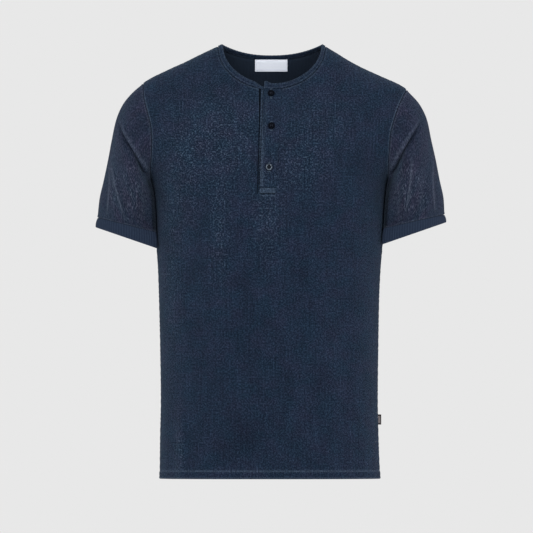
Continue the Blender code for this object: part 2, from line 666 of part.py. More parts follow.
def make_front(collection):
    right, right_lean = folded_half(RIGHT, FRONT)
    left, left_lean = folded_half(LEFT, FRONT)
    share = np.arange(1, SLIT_CELLS)[None, :] / SLIT_CELLS
    x = right[:, :1, 0] + (left[:, :1, 0] - right[:, :1, 0]) * share
    z = right[:, :1, 2] + (left[:, :1, 2] - right[:, :1, 2]) * share
    between = on_form(x, z, FRONT)
    between_lean = form_normal(between, FRONT)
    rise = fold_rise("front", x, z)
    rise[:2] += HEM_RISE
    between = between + between_lean * rise[..., None] + np.array([0, -SEAM_GAP / 2, 0])
    outer = np.concatenate([right[:, ::-1], between, left], axis=1)
    lean = np.concatenate([right_lean[:, ::-1], between_lean, left_lean], axis=1)
    slit_row = 2 + BODY_LEVELS.index(PLACKET_FOOT_LEVEL)
    cut_out = np.zeros((outer.shape[0] - 1, outer.shape[1] - 1), bool)
    cut_out[slit_row:, HALF_CELLS:HALF_CELLS + SLIT_CELLS] = True
    shape = cloth_wall(outer, outer - lean * wall_depth(outer), cut_out=cut_out)
    return piece_from(shape, "front", "terry", collection)


def make_back(collection):
    right, right_lean = folded_half(RIGHT, BACK)
    left, left_lean = folded_half(LEFT, BACK)
    outer = np.concatenate([right[:, :0:-1], left], axis=1)
    lean = np.concatenate([right_lean[:, :0:-1], left_lean], axis=1)
    shape = cloth_wall(outer, outer - lean * wall_depth(outer))
    return piece_from(shape, "back", "terry", collection)


# ---- neckband and placket -------------------------------------------------------------------
def neck_turns(side, face):
    """Turns at the panel's own points along its neckline, from the shoulder point on."""
    edge = neck_edge(side, face)[::-1]
    return np.arccos(np.clip(np.abs(edge[:, 0]) / HALF_WIDTH[side](0), 0, 1))


def band_edges():
    """Seam and free edge of the neckband, from its under end round the back to its over end."""
    def front_run(side, end_x):
        turns = neck_turns(side, FRONT)
        last = math.acos(side * end_x / HALF_WIDTH[side](0))
        turns = np.concatenate([turns, np.linspace(turns[-1], last, BAND_END_CELLS + 1)[1:]])
        seam = np.stack(front_neck(side, turns), axis=1)
        free = np.stack([side * HALF_WIDTH[side](BAND_RISE) * np.cos(turns),
                         BAND_RISE * np.cos(turns) - BAND_FRONT_DROP * np.sin(turns)], axis=1)
        return seam, free

    def back_run(side):
        turns = neck_turns(side, BACK)
        seam = np.stack(back_neck(side, turns), axis=1)
        half = HALF_WIDTH[side](BAND_RISE)
        x = half * np.cos(turns)
        dip = (BAND_BACK_DROP + BAND_RISE) * (1 - (x / half) ** BACK_NECK_POWER)
        return seam, np.stack([side * x, BAND_RISE - dip], axis=1)

    under = [part[::-1] for part in front_run(RIGHT, BAND_UNDER_END)]
    behind_left = [part[::-1] for part in back_run(LEFT)]
    runs = [(under, FRONT, slice(None)), (back_run(RIGHT), BACK, slice(1, None)),
            (behind_left, BACK, slice(1, None)), (front_run(LEFT, BAND_OVER_END), FRONT, slice(1, None))]
    seam = np.concatenate([run[0][keep] for run, _, keep in runs])
    free = np.concatenate([run[1][keep] for run, _, keep in runs])
    faces = np.concatenate([np.full(len(run[0][keep]), face) for run, face, keep in runs])
    return seam, free, faces


def make_neckband(collection):
    seam, free, faces = band_edges()
    count = len(seam)
    under_side = np.arange(count) <= NECK_CELLS[FRONT] + BAND_END_CELLS
    sunk = BAND_SINK * ease((seam[:, 0] - BAND_SINK_START) / (BAND_SINK_END - BAND_SINK_START))
    sunk = np.where(under_side, sunk, 0)
    loops = []
    for k in range(count):
        loop = []
        for point in BAND_PROFILE:
            x, z = seam[k] + (free[k] - seam[k]) * point.share
            place = on_form(x, z, faces[k])
            out = form_normal(place, faces[k])
            loop.append(place + out * (point.rise - sunk[k]))
        loops.append(loop)
    shape = bmesh.new()
    rings = [[shape.verts.new(point) for point in loop] for loop in loops]
    for one, other in zip(rings, rings[1:]):
        for k in range(len(one) - 1):
            shape.faces.new([one[k], one[k + 1], other[k + 1], other[k]])
        rim(shape, one[0], other[0], one[-1], other[-1])
    shape.faces.new(rings[0])
    shape.faces.new(rings[-1])
    bmesh.ops.triangulate(shape, faces=shape.faces)
    return piece_from(shape, "neckband", "rib", collection)


def strip_on_front(top_ends, foot_ends, foot_level, levels, cells):
    """A grid on the front's form, between two straight edges, from its foot to the neckline."""
    top_x = np.linspace(*top_ends, cells + 1)
    foot_x = np.linspace(*foot_ends, cells + 1)
    top_z = front_neck_level(top_x) - SEAM_GAP
    share = np.asarray(levels)[:, None]
    x = foot_x + (top_x - foot_x) * share
    z = foot_level + (top_z - foot_level) * share
    return on_form(x, z, FRONT)


def make_placket_top(collection):
    """Doubled cloth, folded at its free edge, with a stitched box at its foot."""
    length = -NECK_FRONT_DROP - PLACKET_FOOT_LEVEL
    box = PLACKET_BOX / length
    over_box = (PLACKET_BOX + PLACKET_STEP) / length
    levels = np.concatenate([[0, box], np.linspace(over_box, 1, PLACKET_ROWS + 1)])
    points = strip_on_front((PLACKET_TOP_EDGE, PLACKET_TOP_SEAM - SEAM_GAP),
                            (PLACKET_FOOT_EDGE, PLACKET_FOOT_SEAM - SEAM_GAP),
                            PLACKET_FOOT_LEVEL + SEAM_GAP, levels, PLACKET_CELLS)
    out = form_normal(points, FRONT)
    rise = np.full(points.shape[:2], PLACKET_RISE)
    rise[:2] += PLACKET_RISE
    rise[:, 0] += PLACKET_RISE / 2
    outer = points + out * rise[..., None]
    inner = points + out * (PLACKET_RISE - PLACKET_THICKNESS)
    return piece_from(cloth_wall(outer, inner), "placket_top", "terry", collection)


def make_placket_under(collection):
    """The strip behind it, which shows a little past the upper one's free edge."""
    points = strip_on_front((UNDER_EDGE, UNDER_FAR_EDGE), (UNDER_EDGE, UNDER_FAR_EDGE),
                            UNDER_FOOT_LEVEL, np.linspace(0, 1, PLACKET_ROWS + 1), PLACKET_CELLS)
    out = form_normal(points, FRONT)
    outer = points - out * (CLOTH + SEAM_GAP)
    return piece_from(cloth_wall(outer, outer - out * CLOTH), "placket_under", "terry", collection)


# ---- buttons, label and tag -----------------------------------------------------------------
def make_button(number, button, collection, cutters):
    """A turned disc with a dished face and a rolled rim, drilled with four holes."""
    radius, half = BUTTON_DIAMETER / 2, BUTTON_THICKNESS / 2
    profile = [(point.reach * radius, 0, point.height * half) for point in BUTTON_PROFILE]
    mesh = bpy.data.meshes.new(f"button_{number}")
    mesh.from_pydata(profile, [(k, k + 1) for k in range(len(profile) - 1)], [])
    made = bpy.data.objects.new(f"button_{number}", mesh)
    collection.objects.link(made)
    mesh.materials.append(finish_material("button"))
    turned = made.modifiers.new("turned", "SCREW")
    turned.steps = turned.render_steps = BUTTON_SIDES
    turned.use_merge_vertices = True
    turned.merge_threshold = 0.0001

    drill_shape = bmesh.new()
    for across in (-1, 1):
        for up in (-1, 1):
            bit = bmesh.ops.create_cone(
                drill_shape, cap_ends=True, segments=DRILL_SIDES, radius1=BUTTON_HOLE / 2,
                radius2=BUTTON_HOLE / 2, depth=4 * BUTTON_THICKNESS)
            bmesh.ops.translate(drill_shape, verts=bit["verts"],
                                vec=(across * BUTTON_HOLE_SPREAD, up * BUTTON_HOLE_SPREAD, 0))
    drill_mesh = bpy.data.meshes.new(f"drill_{number}")
    drill_shape.to_mesh(drill_mesh)
    drill_shape.free()
    drill = bpy.data.objects.new(f"drill_{number}", drill_mesh)
    drill.hide_render = True
    drill.display_type = "WIRE"
    cutters.objects.link(drill)
    drilled = made.modifiers.new("drilled", "BOOLEAN")
    drilled.operation = "DIFFERENCE"
    drilled.object = drill

    seat = on_form(button.x, button.level, FRONT)
    out = form_normal(seat, FRONT)
    lift = 2 * PLACKET_RISE + SEAM_GAP + half
    for item in (made, drill):
        item.location = seat + out * lift
        item.rotation_euler = Vector(out).to_track_quat("Z", "Y").to_euler()
    return made


def make_label(collection):
    """A woven label behind the back neck; its ends are sewn to the back."""
    x = np.linspace(LABEL_LEFT, LABEL_RIGHT, LABEL_CELLS + 1)[None, :]
    z = np.linspace(LABEL_TOP, LABEL_FOOT, LABEL_ROWS + 1)[:, None]
    points = on_form(x, z, BACK)
    out = form_normal(points, BACK)
    back = points - out * (CLOTH + SEAM_GAP)
    return piece_from(cloth_wall(back, back - out * LABEL_THICKNESS), "neck_label", "label", collection)


def make_tag(collection):
    """A folded tag that stands out of the side seam."""
    middle = (TAG_TOP + TAG_FOOT) / 2
    root = float(HALF_WIDTH[LEFT](middle)) + 2 * SEAM_GAP
    shape = bmesh.new()
    bmesh.ops.create_cube(shape, size=1)
    bmesh.ops.scale(shape, vec=(TAG_REACH, TAG_THICKNESS, TAG_TOP - TAG_FOOT), verts=shape.verts)
    bmesh.ops.translate(shape, vec=(root + TAG_REACH / 2, 0, middle), verts=shape.verts)
    fold = [edge for edge in shape.edges
            if all(vert.co.x > root + TAG_REACH / 2 for vert in edge.verts)
            and abs(edge.verts[0].co.z - edge.verts[1].co.z) > TAG_REACH]
    bmesh.ops.bevel(shape, geom=fold, offset=TAG_THICKNESS * 0.4, segments=3, affect="EDGES")
    return piece_from(shape, "side_tag", "tag", collection)


def clear_scene():
    for old in list(bpy.data.objects):
        bpy.data.objects.remove(old)


def build():
    clear_scene()
    shirt = shirt_collection()
    cutters = bpy.data.collections.new("cutters")
    bpy.context.scene.collection.children.link(cutters)
    make_front(shirt)
    make_back(shirt)
    for side in (RIGHT, LEFT):
        make_sleeve(side, shirt)
        make_cuff(side, shirt)
    make_neckband(shirt)
    make_placket_top(shirt)
    make_placket_under(shirt)
    for number, button in enumerate(BUTTONS, start=1):
        make_button(number, button, shirt, cutters)
    make_label(shirt)
    make_tag(shirt)


build()
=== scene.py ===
"""A collarless navy towelling shirt with a buttoned placket, filled out as worn, in a pale studio.

Metres, +Z up, the front faces -Y and the wearer's left is +X. Every piece of cloth is a thin wall on
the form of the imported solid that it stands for. Tables that go through in_metres give millimetres,
and shares and strengths in thousandths.
"""

import math
from collections import namedtuple

import bmesh
import bpy
import numpy as np
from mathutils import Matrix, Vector


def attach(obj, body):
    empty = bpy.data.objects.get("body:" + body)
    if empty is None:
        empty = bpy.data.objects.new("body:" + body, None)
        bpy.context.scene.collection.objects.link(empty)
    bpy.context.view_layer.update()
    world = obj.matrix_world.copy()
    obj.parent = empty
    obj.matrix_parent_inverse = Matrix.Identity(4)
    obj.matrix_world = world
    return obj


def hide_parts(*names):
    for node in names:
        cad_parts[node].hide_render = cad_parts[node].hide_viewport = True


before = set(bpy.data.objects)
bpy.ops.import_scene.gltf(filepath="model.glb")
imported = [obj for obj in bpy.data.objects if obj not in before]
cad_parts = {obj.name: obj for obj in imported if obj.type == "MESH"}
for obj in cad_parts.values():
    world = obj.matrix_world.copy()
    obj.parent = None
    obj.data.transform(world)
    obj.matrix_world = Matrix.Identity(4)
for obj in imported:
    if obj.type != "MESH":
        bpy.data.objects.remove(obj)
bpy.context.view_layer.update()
RIGHT, LEFT = -1, 1       # the wearer's sides, by the sign of x
FRONT, BACK = -1, 1       # by the sign of y

# ==== Front and back panels ==================================================================
# Two panels of short-pile towelling jersey, knitted with a looped face and a plain back, cut to
# one rounded form and sewn together down the sides and over the shoulders. Their lower edge is
# turned up and held by two rows of stitches.

CLOTH = 0.0020            # thickness, pile included
SEAM_GAP = 0.0003
SQUARENESS = 2.3          # of the body's level sections: 2 is an ellipse
HEM_LEVEL, HEM_HEIGHT, HEM_RISE = -0.7170, 0.0130, 0.0006
UNDERARM_LEVEL = -0.2210
NECK_FRONT_DROP, NECK_BACK_DROP, BACK_NECK_POWER = 0.0710, 0.0205, 2.3
PLACKET_SLIT_X = -0.0200
PLACKET_TOP_EDGE, PLACKET_TOP_SEAM = -0.0121, 0.0180
PLACKET_FOOT_EDGE, PLACKET_FOOT_SEAM = -0.0197, 0.0093
PLACKET_FOOT_LEVEL = -0.2440


def in_metres(kind, *table):
    """The rows of a table that is given in thousandths."""
    return [kind(*(value / 1000 for value in row)) for row in table]


Section = namedtuple("Section", "level right left front back")
SECTIONS = in_metres(
    Section,
    (-717, 184.2, 180.5, 115, 115), (-652, 183.6, 178, 113, 112), (-586, 182.3, 176.6, 112, 109),
    (-500, 183.4, 177.5, 112.5, 106), (-420, 185.3, 178.9, 114.5, 106.5),
    (-370, 187, 181.2, 116, 108.5), (-334, 189.3, 184.2, 117.2, 110.5),
    (-307, 190.8, 186.4, 117.8, 112), (-270, 192.3, 188.6, 118, 113.8),
    (-245, 194.4, 190.7, 117.6, 114.7), (-221, 200, 194.5, 116.5, 115),
    (-200, 212, 207, 114.8, 114.8), (-175, 224.5, 221.5, 110.5, 113.5),
    (-145, 232.5, 231.5, 102, 110.5), (-115, 234.5, 235, 89, 104.5), (-90, 229.5, 233, 76.5, 96.5),
    (-71.8, 221.5, 224.9, 66.5, 89), (-61.5, 212.5, 209.2, 61, 84), (-52, 197.8, 187.6, 57, 79),
    (-40, 172.8, 160.6, 52, 72), (-25, 140.2, 131, 46.2, 64), (-10, 109.6, 106.8, 40.5, 56),
    (0, 88, 90, 37, 50.5), (3.5, 80, 84, 35.5, 48.5), (10, 66, 70, 33, 45.5),
)
ArmholeRow = namedtuple("ArmholeRow", "right_x right_z left_x left_z")
ARMHOLE = in_metres(
    ArmholeRow,
    (212.5, -61.5, 224.9, -71.8), (211, -83, 214, -93.5), (205.8, -105.7, 204.5, -120),
    (199.5, -132, 198.5, -143), (197.5, -156, 196.2, -168), (198.5, -182, 194.8, -192),
    (200, -205, 194.2, -210), (200, -221, 194.5, -221),
)

# Folds and creases, by x and z as seen from the front. Rise is out of the cloth, so a trough has
# a negative one. A sharp crease is as steep on one side as its steep width says, where its lip
# stands up and hangs over it.
Fold = namedtuple("Fold", "head_x head_z foot_x foot_z half_width rise bow steep lip over",
                  defaults=(None, 0.0, 0.0))
FOLDS = {
    "front": in_metres(
        Fold,
        (-100, -100, -70, -235, 48, 3, 4), (75, -105, 55, -235, 45, 2.6, -4),
        (-88, -225, -78, -400, 17, 2.4, 4), (-10, -230, -2, -345, 16, 1.6, -3),
        (-40, -330, -26, -640, 26, -3, -6), (62, -270, 84, -560, 22, 2, 6),
        (112, -360, 120, -640, 18, -1.8, 4), (-128, -300, -118, -520, 18, -1.8, -5),
        (-150, -580, -149, -760, 9, 4.2, 2), (30, -560, 40, -730, 24, 2.2, 3),
        # small creases: drags from the underarms, across the chest, at the waist and in the hem
        (-186, -196, -120, -168, 5, 1.1, 3), (-188, -214, -112, -222, 6, -1.2, -4),
        (-184, -236, -128, -276, 5.5, 1.2, 4), (184, -198, 118, -176, 5, 1, -3),
        (184, -220, 108, -236, 6, -1.2, 3), (180, -242, 130, -290, 5.5, 1.1, -4),
        (-70, -140, -30, -128, 6, 0.6, 2), (34, -138, 82, -150, 6.5, 0.6, 2),
        (-52, -196, -32, -236, 4.8, 0.8, 2), (26, -226, 52, -262, 5, 0.8, -3),
        (-160, -352, -94, -366, 7, -0.8, 4), (156, -344, 104, -362, 7, -0.8, -4),
        (-60, -640, -62, -725, 10, 1.2, 2), (-104, -655, -101, -725, 7.5, -0.9, -2),
        (92, -630, 97, -725, 10, 1.1, 2), (141, -650, 139, -725, 8, -1, 2),
    ),
    "back": in_metres(
        Fold,
        (-85, -110, -75, -260, 46, 3.4, 4), (85, -110, 72, -260, 46, 3.2, -4),
        (0, -120, 4, -420, 26, -3.4, 3), (-62, -300, -90, -620, 24, 2.6, -7),
        (58, -320, 82, -640, 24, 2.4, 7), (-128, -330, -134, -560, 18, -2.2, 4),
        (124, -310, 130, -590, 18, -2, -4), (12, -540, -6, -730, 26, 2.4, 4),
        # small creases in the same places as in front
        (-182, -200, -112, -176, 6, 1.4, 4), (-184, -224, -104, -248, 7, -1.5, -4),
        (182, -198, 108, -180, 6, 1.3, -4), (182, -226, 100, -256, 7, -1.4, 5),
        (-96, -70, -40, -108, 8, 1, 4), (94, -72, 44, -112, 8, 0.9, -4),
        (-66, -362, 50, -378, 8.5, -1.3, 8), (-40, -398, 72, -404, 7.5, 0.9, 6),
        (-150, -350, -86, -372, 7, 0.9, -4), (150, -344, 92, -368, 7, 0.9, 4),
        (-52, -640, -55, -725, 9, -1.2, 2), (64, -645, 67, -725, 9.5, 1.2, -2),
        (128, -650, 126, -725, 8, -1, 2), (-130, -640, -127, -725, 9, 1.2, 2),
    ),
}
FOLD_TAPER = 0.3          # share of a fold's length over which each of its ends dies out
SHARP_TAPER, SHARP_FOOT = 0.38, 0.12      # the same for the two ends of a sharp crease
PANEL_FADE = 0.20         # share of a panel, next to its seams, over which folds die out

CELL = 0.0034             # of the panels' fine grid
TACK_STEPS = (0.0052, 0.0045, 0.0039, 0.0033, 0.0027, 0.0020, 0.0013, 0.0006, 0.0)   # under the placket
EDGE_STEPS = (0.0006, 0.0013, 0.0021, 0.0031, 0.0043)   # finer, next to seams
HEM_STEPS = (0.0, 0.0005, 0.0012, 0.0024, 0.0045, 0.0070, 0.0095, 0.0112, 0.0121, 0.0126,
             0.0131, 0.0138, 0.0150, 0.0170)
HEM_FOLD_ROW, HEM_EDGE_ROW = 3, 8         # rows of the hem that carry stitches
PANEL_HALF_SPAN, YOKE_SPAN, SKIRT_SPAN = 0.250, 0.190, 0.450    # of cloth, to set the cells' number
SLIT_CORNER = 0.5         # where, up the patch, the slit's edge gives way to the neckline
NECK_CORNER = 8 / 15      # where, along the back's top edge, the neckline meets the shoulder
FINE = 500                # points on an edge before it is cut into cells


def smooth_through(places, values):
    """A monotone cubic curve through table rows whose places rise."""
    places, values = np.asarray(places, float), np.asarray(values, float)
    step = np.diff(places)
    rise = np.diff(values) / step
    before, after = rise[:-1], rise[1:]
    same_way = before * after > 0
    weight_before, weight_after = 2 * step[1:] + step[:-1], step[1:] + 2 * step[:-1]
    mean = (weight_before + weight_after) / (
        weight_before / np.where(same_way, before, 1) + weight_after / np.where(same_way, after, 1))
    slope = np.concatenate([rise[:1], np.where(same_way, mean, 0), rise[-1:]])

    def at(place):
        place = np.clip(place, places[0], places[-1])
        k = np.clip(np.searchsorted(places, place, side="right") - 1, 0, len(step) - 1)
        t = (place - places[k]) / step[k]
        start = (1 + 2 * t) * (1 - t) ** 2 * values[k] + t * (1 - t) ** 2 * step[k] * slope[k]
        end = t ** 2 * (3 - 2 * t) * values[k + 1] + t ** 2 * (t - 1) * step[k] * slope[k + 1]
        return start + end

    return at


def column(rows, name):
    return [getattr(row, name) for row in rows]


def by_level(name):
    return smooth_through(column(SECTIONS, "level"), column(SECTIONS, name))


HALF_WIDTH = {RIGHT: by_level("right"), LEFT: by_level("left")}
DEPTH = {FRONT: by_level("front"), BACK: by_level("back")}


def unit(vectors):
    return vectors / np.linalg.norm(vectors, axis=-1, keepdims=True)


def ease(t):
    t = np.clip(t, 0, 1)
    return t * t * (3 - 2 * t)


def bell(off, width):
    return np.exp(-(off / width) ** 2)


def half_width(x, z):
    return np.where(x < 0, HALF_WIDTH[RIGHT](z), HALF_WIDTH[LEFT](z))


def on_form(x, z, face):
    """The form's point seen at x and z from the front or the back."""
    x, z = np.broadcast_arrays(np.asarray(x, float), np.asarray(z, float))
    share = np.clip(np.abs(x) / half_width(x, z), 0, 1)
    y = face * DEPTH[face](z) * (1 - share ** SQUARENESS) ** (1 / SQUARENESS)
    return np.stack([x, y, z], axis=-1)


def form_normal(points, face):
    """Outward unit normals of the form."""
    x, y, z = np.moveaxis(points, -1, 0)
    small = 0.0005
    width, depth = half_width(x, z), DEPTH[face](z)
    width_slope = (half_width(x, z + small) - half_width(x, z - small)) / (2 * small)
    depth_slope = (DEPTH[face](z + small) - DEPTH[face](z - small)) / (2 * small)
    across, along = np.clip(np.abs(x) / width, 0, 1), np.clip(np.abs(y) / depth, 0, 1)
    return unit(np.stack([
        np.sign(x) * across ** (SQUARENESS - 1) / width,
        face * along ** (SQUARENESS - 1) / depth,
        -(across ** SQUARENESS * width_slope / width + along ** SQUARENESS * depth_slope / depth),
    ], axis=-1))


def onto_form(points, face):
    """Each point moved level, straight out from the middle, until it lies on the form."""
    x, y, z = np.moveaxis(points, -1, 0)
    reach = (np.abs(x) / half_width(x, z)) ** SQUARENESS + (np.abs(y) / DEPTH[face](z)) ** SQUARENESS
    factor = reach ** (-1 / SQUARENESS)
    return np.stack([x * factor, y * factor, z], axis=-1)


def run_along(points):
    """How far along a line each of its points lies."""
    return np.concatenate([[0], np.cumsum(np.linalg.norm(np.diff(points, axis=0), axis=1))])


def at_places(line, run, places):
    """The values of a line's points at places along its run."""
    return np.stack([np.interp(places, run, line[:, k]) for k in range(3)], axis=-1)


def spaced(points, stops):
    """Points at the given shares of a line's length."""
    run = run_along(points)
    return at_places(points, run, np.asarray(stops) * run[-1])


def stops_with(length, cell, near_start=False, near_end=False, also=()):
    """Shares of a length, a cell apart, with finer steps next to its seams."""
    stops = set(np.round(np.linspace(0, 1, max(int(round(length / cell)), 2) + 1), 6)) | set(also)
    if near_start:
        stops = {s for s in stops if s == 0 or s > 1.4 * EDGE_STEPS[-1] / length}
        stops |= {step / length for step in EDGE_STEPS}
    if near_end:
        stops = {s for s in stops if s == 1 or s < 1 - 1.4 * EDGE_STEPS[-1] / length}
        stops |= {1 - step / length for step in EDGE_STEPS}
    return np.array(sorted(stops))


def fold_places(fold, x, z):
    """Places across a fold, in metres, and how far it has died out at them."""
    run_x, run_z = fold.foot_x - fold.head_x, fold.foot_z - fold.head_z
    length = math.hypot(run_x, run_z)
    along = ((x - fold.head_x) * run_x + (z - fold.head_z) * run_z) / length ** 2
    across = ((x - fold.head_x) * run_z - (z - fold.head_z) * run_x) / length
    middle = np.clip(along, 0, 1)
    across = across + fold.bow * 4 * middle * (1 - middle)
    head_taper, foot_taper = (SHARP_TAPER, SHARP_FOOT) if fold.over else (FOLD_TAPER, FOLD_TAPER)
    return across, ease(along / head_taper) * ease((1 - along) / foot_taper)


def fold_rise(cloth, x, z):
    """How far the folds of one cloth lift it at x and z."""
    total = np.zeros(np.shape(x))
    for fold in FOLDS[cloth]:
        across, taper = fold_places(fold, x, z)
        width = fold.half_width
        if fold.steep:
            lip_side, steep = math.copysign(1, fold.steep), abs(fold.steep)
            width = np.where(across * lip_side > 0, steep, fold.half_width)
            total = total + fold.lip * taper * bell(across * lip_side - 2.6 * steep, 1.6 * steep)
        total = total + fold.rise * taper * bell(across, width)
    return total


TURN = (1 - np.cos(np.linspace(0, math.pi, FINE))) / 2      # shares of a line, closer at its ends


def armhole_edge(side, face):
    """Underarm to shoulder tip."""
    across, level = ("right_x", "right_z") if side == RIGHT else ("left_x", "left_z")
    line = np.array([column(ARMHOLE, across), column(ARMHOLE, level)]).T
    run = run_along(line)
    x, z = (smooth_through(run / run[-1], line[:, k])(TURN) for k in (0, 1))
    edge = on_form(side * x, z, face)
    edge[0, 1] = edge[-1, 1] = 0
    return edge[::-1]


def front_neck(side, turn):
    """Seam of neckband and front: a turn of 0 is the shoulder point, a quarter turn the middle."""
    return side * HALF_WIDTH[side](0) * np.cos(turn), -NECK_FRONT_DROP * np.sin(turn)


def back_neck(side, turn):
    half = HALF_WIDTH[side](0)
    x = half * np.cos(turn)
    return side * x, -NECK_BACK_DROP * (1 - (x / half) ** BACK_NECK_POWER)


def slit_seam_x(z):
    """Edge of the slit on the wearer's left, where the upper placket is sewn in."""
    share = np.clip((z + NECK_FRONT_DROP) / (PLACKET_FOOT_LEVEL + NECK_FRONT_DROP), 0, 1)
    return PLACKET_TOP_SEAM + (PLACKET_FOOT_SEAM - PLACKET_TOP_SEAM) * share


def middle_x(side, face, z):
    """Where a half panel starts: at the slit's edge in front, in the middle at the back."""
    if face == BACK:
        return np.zeros(np.shape(z))
    return np.full(np.shape(z), PLACKET_SLIT_X) if side == RIGHT else slit_seam_x(z)


def neck_edge(side, face):
    """Half a neckline, from the middle of the panel to the shoulder point."""
    neck = front_neck if face == FRONT else back_neck
    start = abs(float(middle_x(side, face, -NECK_FRONT_DROP)))
    turns = math.acos(start / HALF_WIDTH[side](0)) * (1 - TURN)
    edge = on_form(*neck(side, turns), face)
    edge[-1, 1] = 0
    return edge


def shoulder_edge(side):
    """From the shoulder point to the shoulder tip."""
    tip = ARMHOLE[0].right_z if side == RIGHT else ARMHOLE[0].left_z
    down = tip * TURN
    return np.stack([side * HALF_WIDTH[side](down), 0 * down, down], axis=1)


def level_edge(side, face, z, stops):
    """A level section of the form, from the middle to the side seam."""
    start, end = float(middle_x(side, face, z)), side * float(HALF_WIDTH[side](z))
    line = on_form(start + (end - start) * np.sin(np.linspace(0, math.pi / 2, FINE)), z, face)
    line[-1, 1] = 0
    return spaced(line, stops)


def bent_edge(first, second, corner, stops):
    """One edge made of two lines that meet at a corner."""
    low, high = stops[stops < corner], stops[stops >= corner]
    return np.concatenate([spaced(first, low / corner), spaced(second, (high - corner) / (1 - corner))])


def upper_half(side, face, across, up):
    """Half a panel over the underarm level: a patch between its four edges, laid on the form."""
    neck, arm = neck_edge(side, face), spaced(armhole_edge(side, face), up)
    base = level_edge(side, face, UNDERARM_LEVEL, across)
    rise = np.linspace(UNDERARM_LEVEL, neck[0, 2], FINE)
    middle = on_form(middle_x(side, face, rise), rise, face)
    if face == FRONT:
        middle = bent_edge(middle, neck, SLIT_CORNER, up)
        top = spaced(shoulder_edge(side), across)
    else:
        middle = spaced(middle, up)
        top = bent_edge(neck, shoulder_edge(side), NECK_CORNER, across)
    u, v = across[None, :, None], up[:, None, None]
    corners = ((1 - u) * (1 - v) * base[0] + u * (1 - v) * base[-1]
               + (1 - u) * v * top[0] + u * v * top[-1])
    patch = (1 - v) * base + v * top + (1 - u) * middle[:, None] + u * arm[:, None] - corners
    patch[1:-1, 1:-1] = onto_form(patch[1:-1, 1:-1], face)
    return patch


WELT_OFF, WELT_WIDTH, GROOVE_WIDTH = 0.0020, 0.0012, 0.0006     # beside a seam, and in it


def seam_swell(distance, along):
    """The groove of a seam and the soft welt beside it, a little puckered along its run."""
    pucker = 1 + 0.30 * np.sin(along * 900 + 2 * np.sin(along * 170))
    return 0.0007 * bell(distance - WELT_OFF, WELT_WIDTH) * pucker - 0.0006 * bell(distance, GROOVE_WIDTH)


DENSE, DENSE_STEP = 900, 0.0004      # points on a seam to measure from, and about how far apart they lie
AT_ONCE = 150             # of them, to spare memory


def edge_distance(points, lines):
    """From each point to the nearest point of some dense lines, and how far along that lies."""
    dense = np.concatenate([spaced(line, np.linspace(0, 1, DENSE)) for line in lines])
    flat = points.reshape(-1, 3)
    near, which = np.full(len(flat), np.inf), np.zeros(len(flat), int)
    for start in range(0, len(dense), AT_ONCE):
        part = dense[start:start + AT_ONCE]
        squared = ((flat[:, None] - part[None]) ** 2).sum(axis=-1)
        k = squared.argmin(axis=1)
        nearest = squared[np.arange(len(flat)), k]
        closer = nearest < near
        near, which = np.where(closer, nearest, near), np.where(closer, k + start, which)
    return np.sqrt(near).reshape(points.shape[:-1]), (which * DENSE_STEP).reshape(points.shape[:-1])


def flat_map(points, face):
    """Where each point lay in the flat cloth: across its level section, and down the middle."""
    x, z = points[..., 0], points[..., 2]
    line = on_form(x[..., None] * np.linspace(0, 1, 41), z[..., None], face)
    across = np.linalg.norm(np.diff(line, axis=-2), axis=-1).sum(axis=-1) * np.sign(x)
    down = np.linspace(SECTIONS[0].level, SECTIONS[-1].level, 600)
    return np.stack([across, np.interp(z, down, run_along(np.stack([down, DEPTH[face](down)], axis=1)))],
                    axis=-1)


def turned_up(above_hem):
    """How much thicker the hem's turned-up cloth makes the wall."""
    return HEM_RISE * ease((HEM_HEIGHT + 0.0004 - above_hem) / 0.0012)


def hem_relief(above_hem):
    """The hem's rise, and the groove in which its upper row of stitches lies."""
    return turned_up(above_hem) - 0.0006 * bell(above_hem - 0.0118, 0.0006)


def half_panel(side, face):
    """Outer points, wall directions and seam distances of half a panel, from middle to side."""
    across = stops_with(PANEL_HALF_SPAN, CELL, near_start=face == FRONT, near_end=True, also=(NECK_CORNER,))
    up = stops_with(YOKE_SPAN, CELL * 0.8, near_end=True, also=(SLIT_CORNER,))
    hem = HEM_LEVEL + np.array(HEM_STEPS)
    lower = np.concatenate([
        hem, np.linspace(hem[-1], PLACKET_FOOT_LEVEL - 0.0060, int(SKIRT_SPAN / CELL))[1:],
        PLACKET_FOOT_LEVEL - np.array(TACK_STEPS), np.linspace(PLACKET_FOOT_LEVEL, UNDERARM_LEVEL, 8)[1:-1]])
    body = np.array([level_edge(side, face, z, across) for z in lower])
    points = np.concatenate([body, upper_half(side, face, across, up)])
    lean = form_normal(points, face)
    side_levels = np.linspace(HEM_LEVEL, UNDERARM_LEVEL, 200)
    side_line = np.array([[side * HALF_WIDTH[side](z), 0, z] for z in side_levels])
    seams = [side_line, armhole_edge(side, face), shoulder_edge(side), neck_edge(side, face)]
    distance, along = edge_distance(points, seams)
    from_top = np.concatenate([np.ones(len(body)), 1 - up])[:, None]
    fading = ease((1 - across) / PANEL_FADE)[None, :] * ease(from_top / PANEL_FADE)
    rise = fading * fold_rise("front" if face == FRONT else "back", points[..., 0], points[..., 2])
    rise = rise + hem_relief(points[..., 2] - HEM_LEVEL) + seam_swell(distance, along)
    return points + lean * rise[..., None], lean, distance


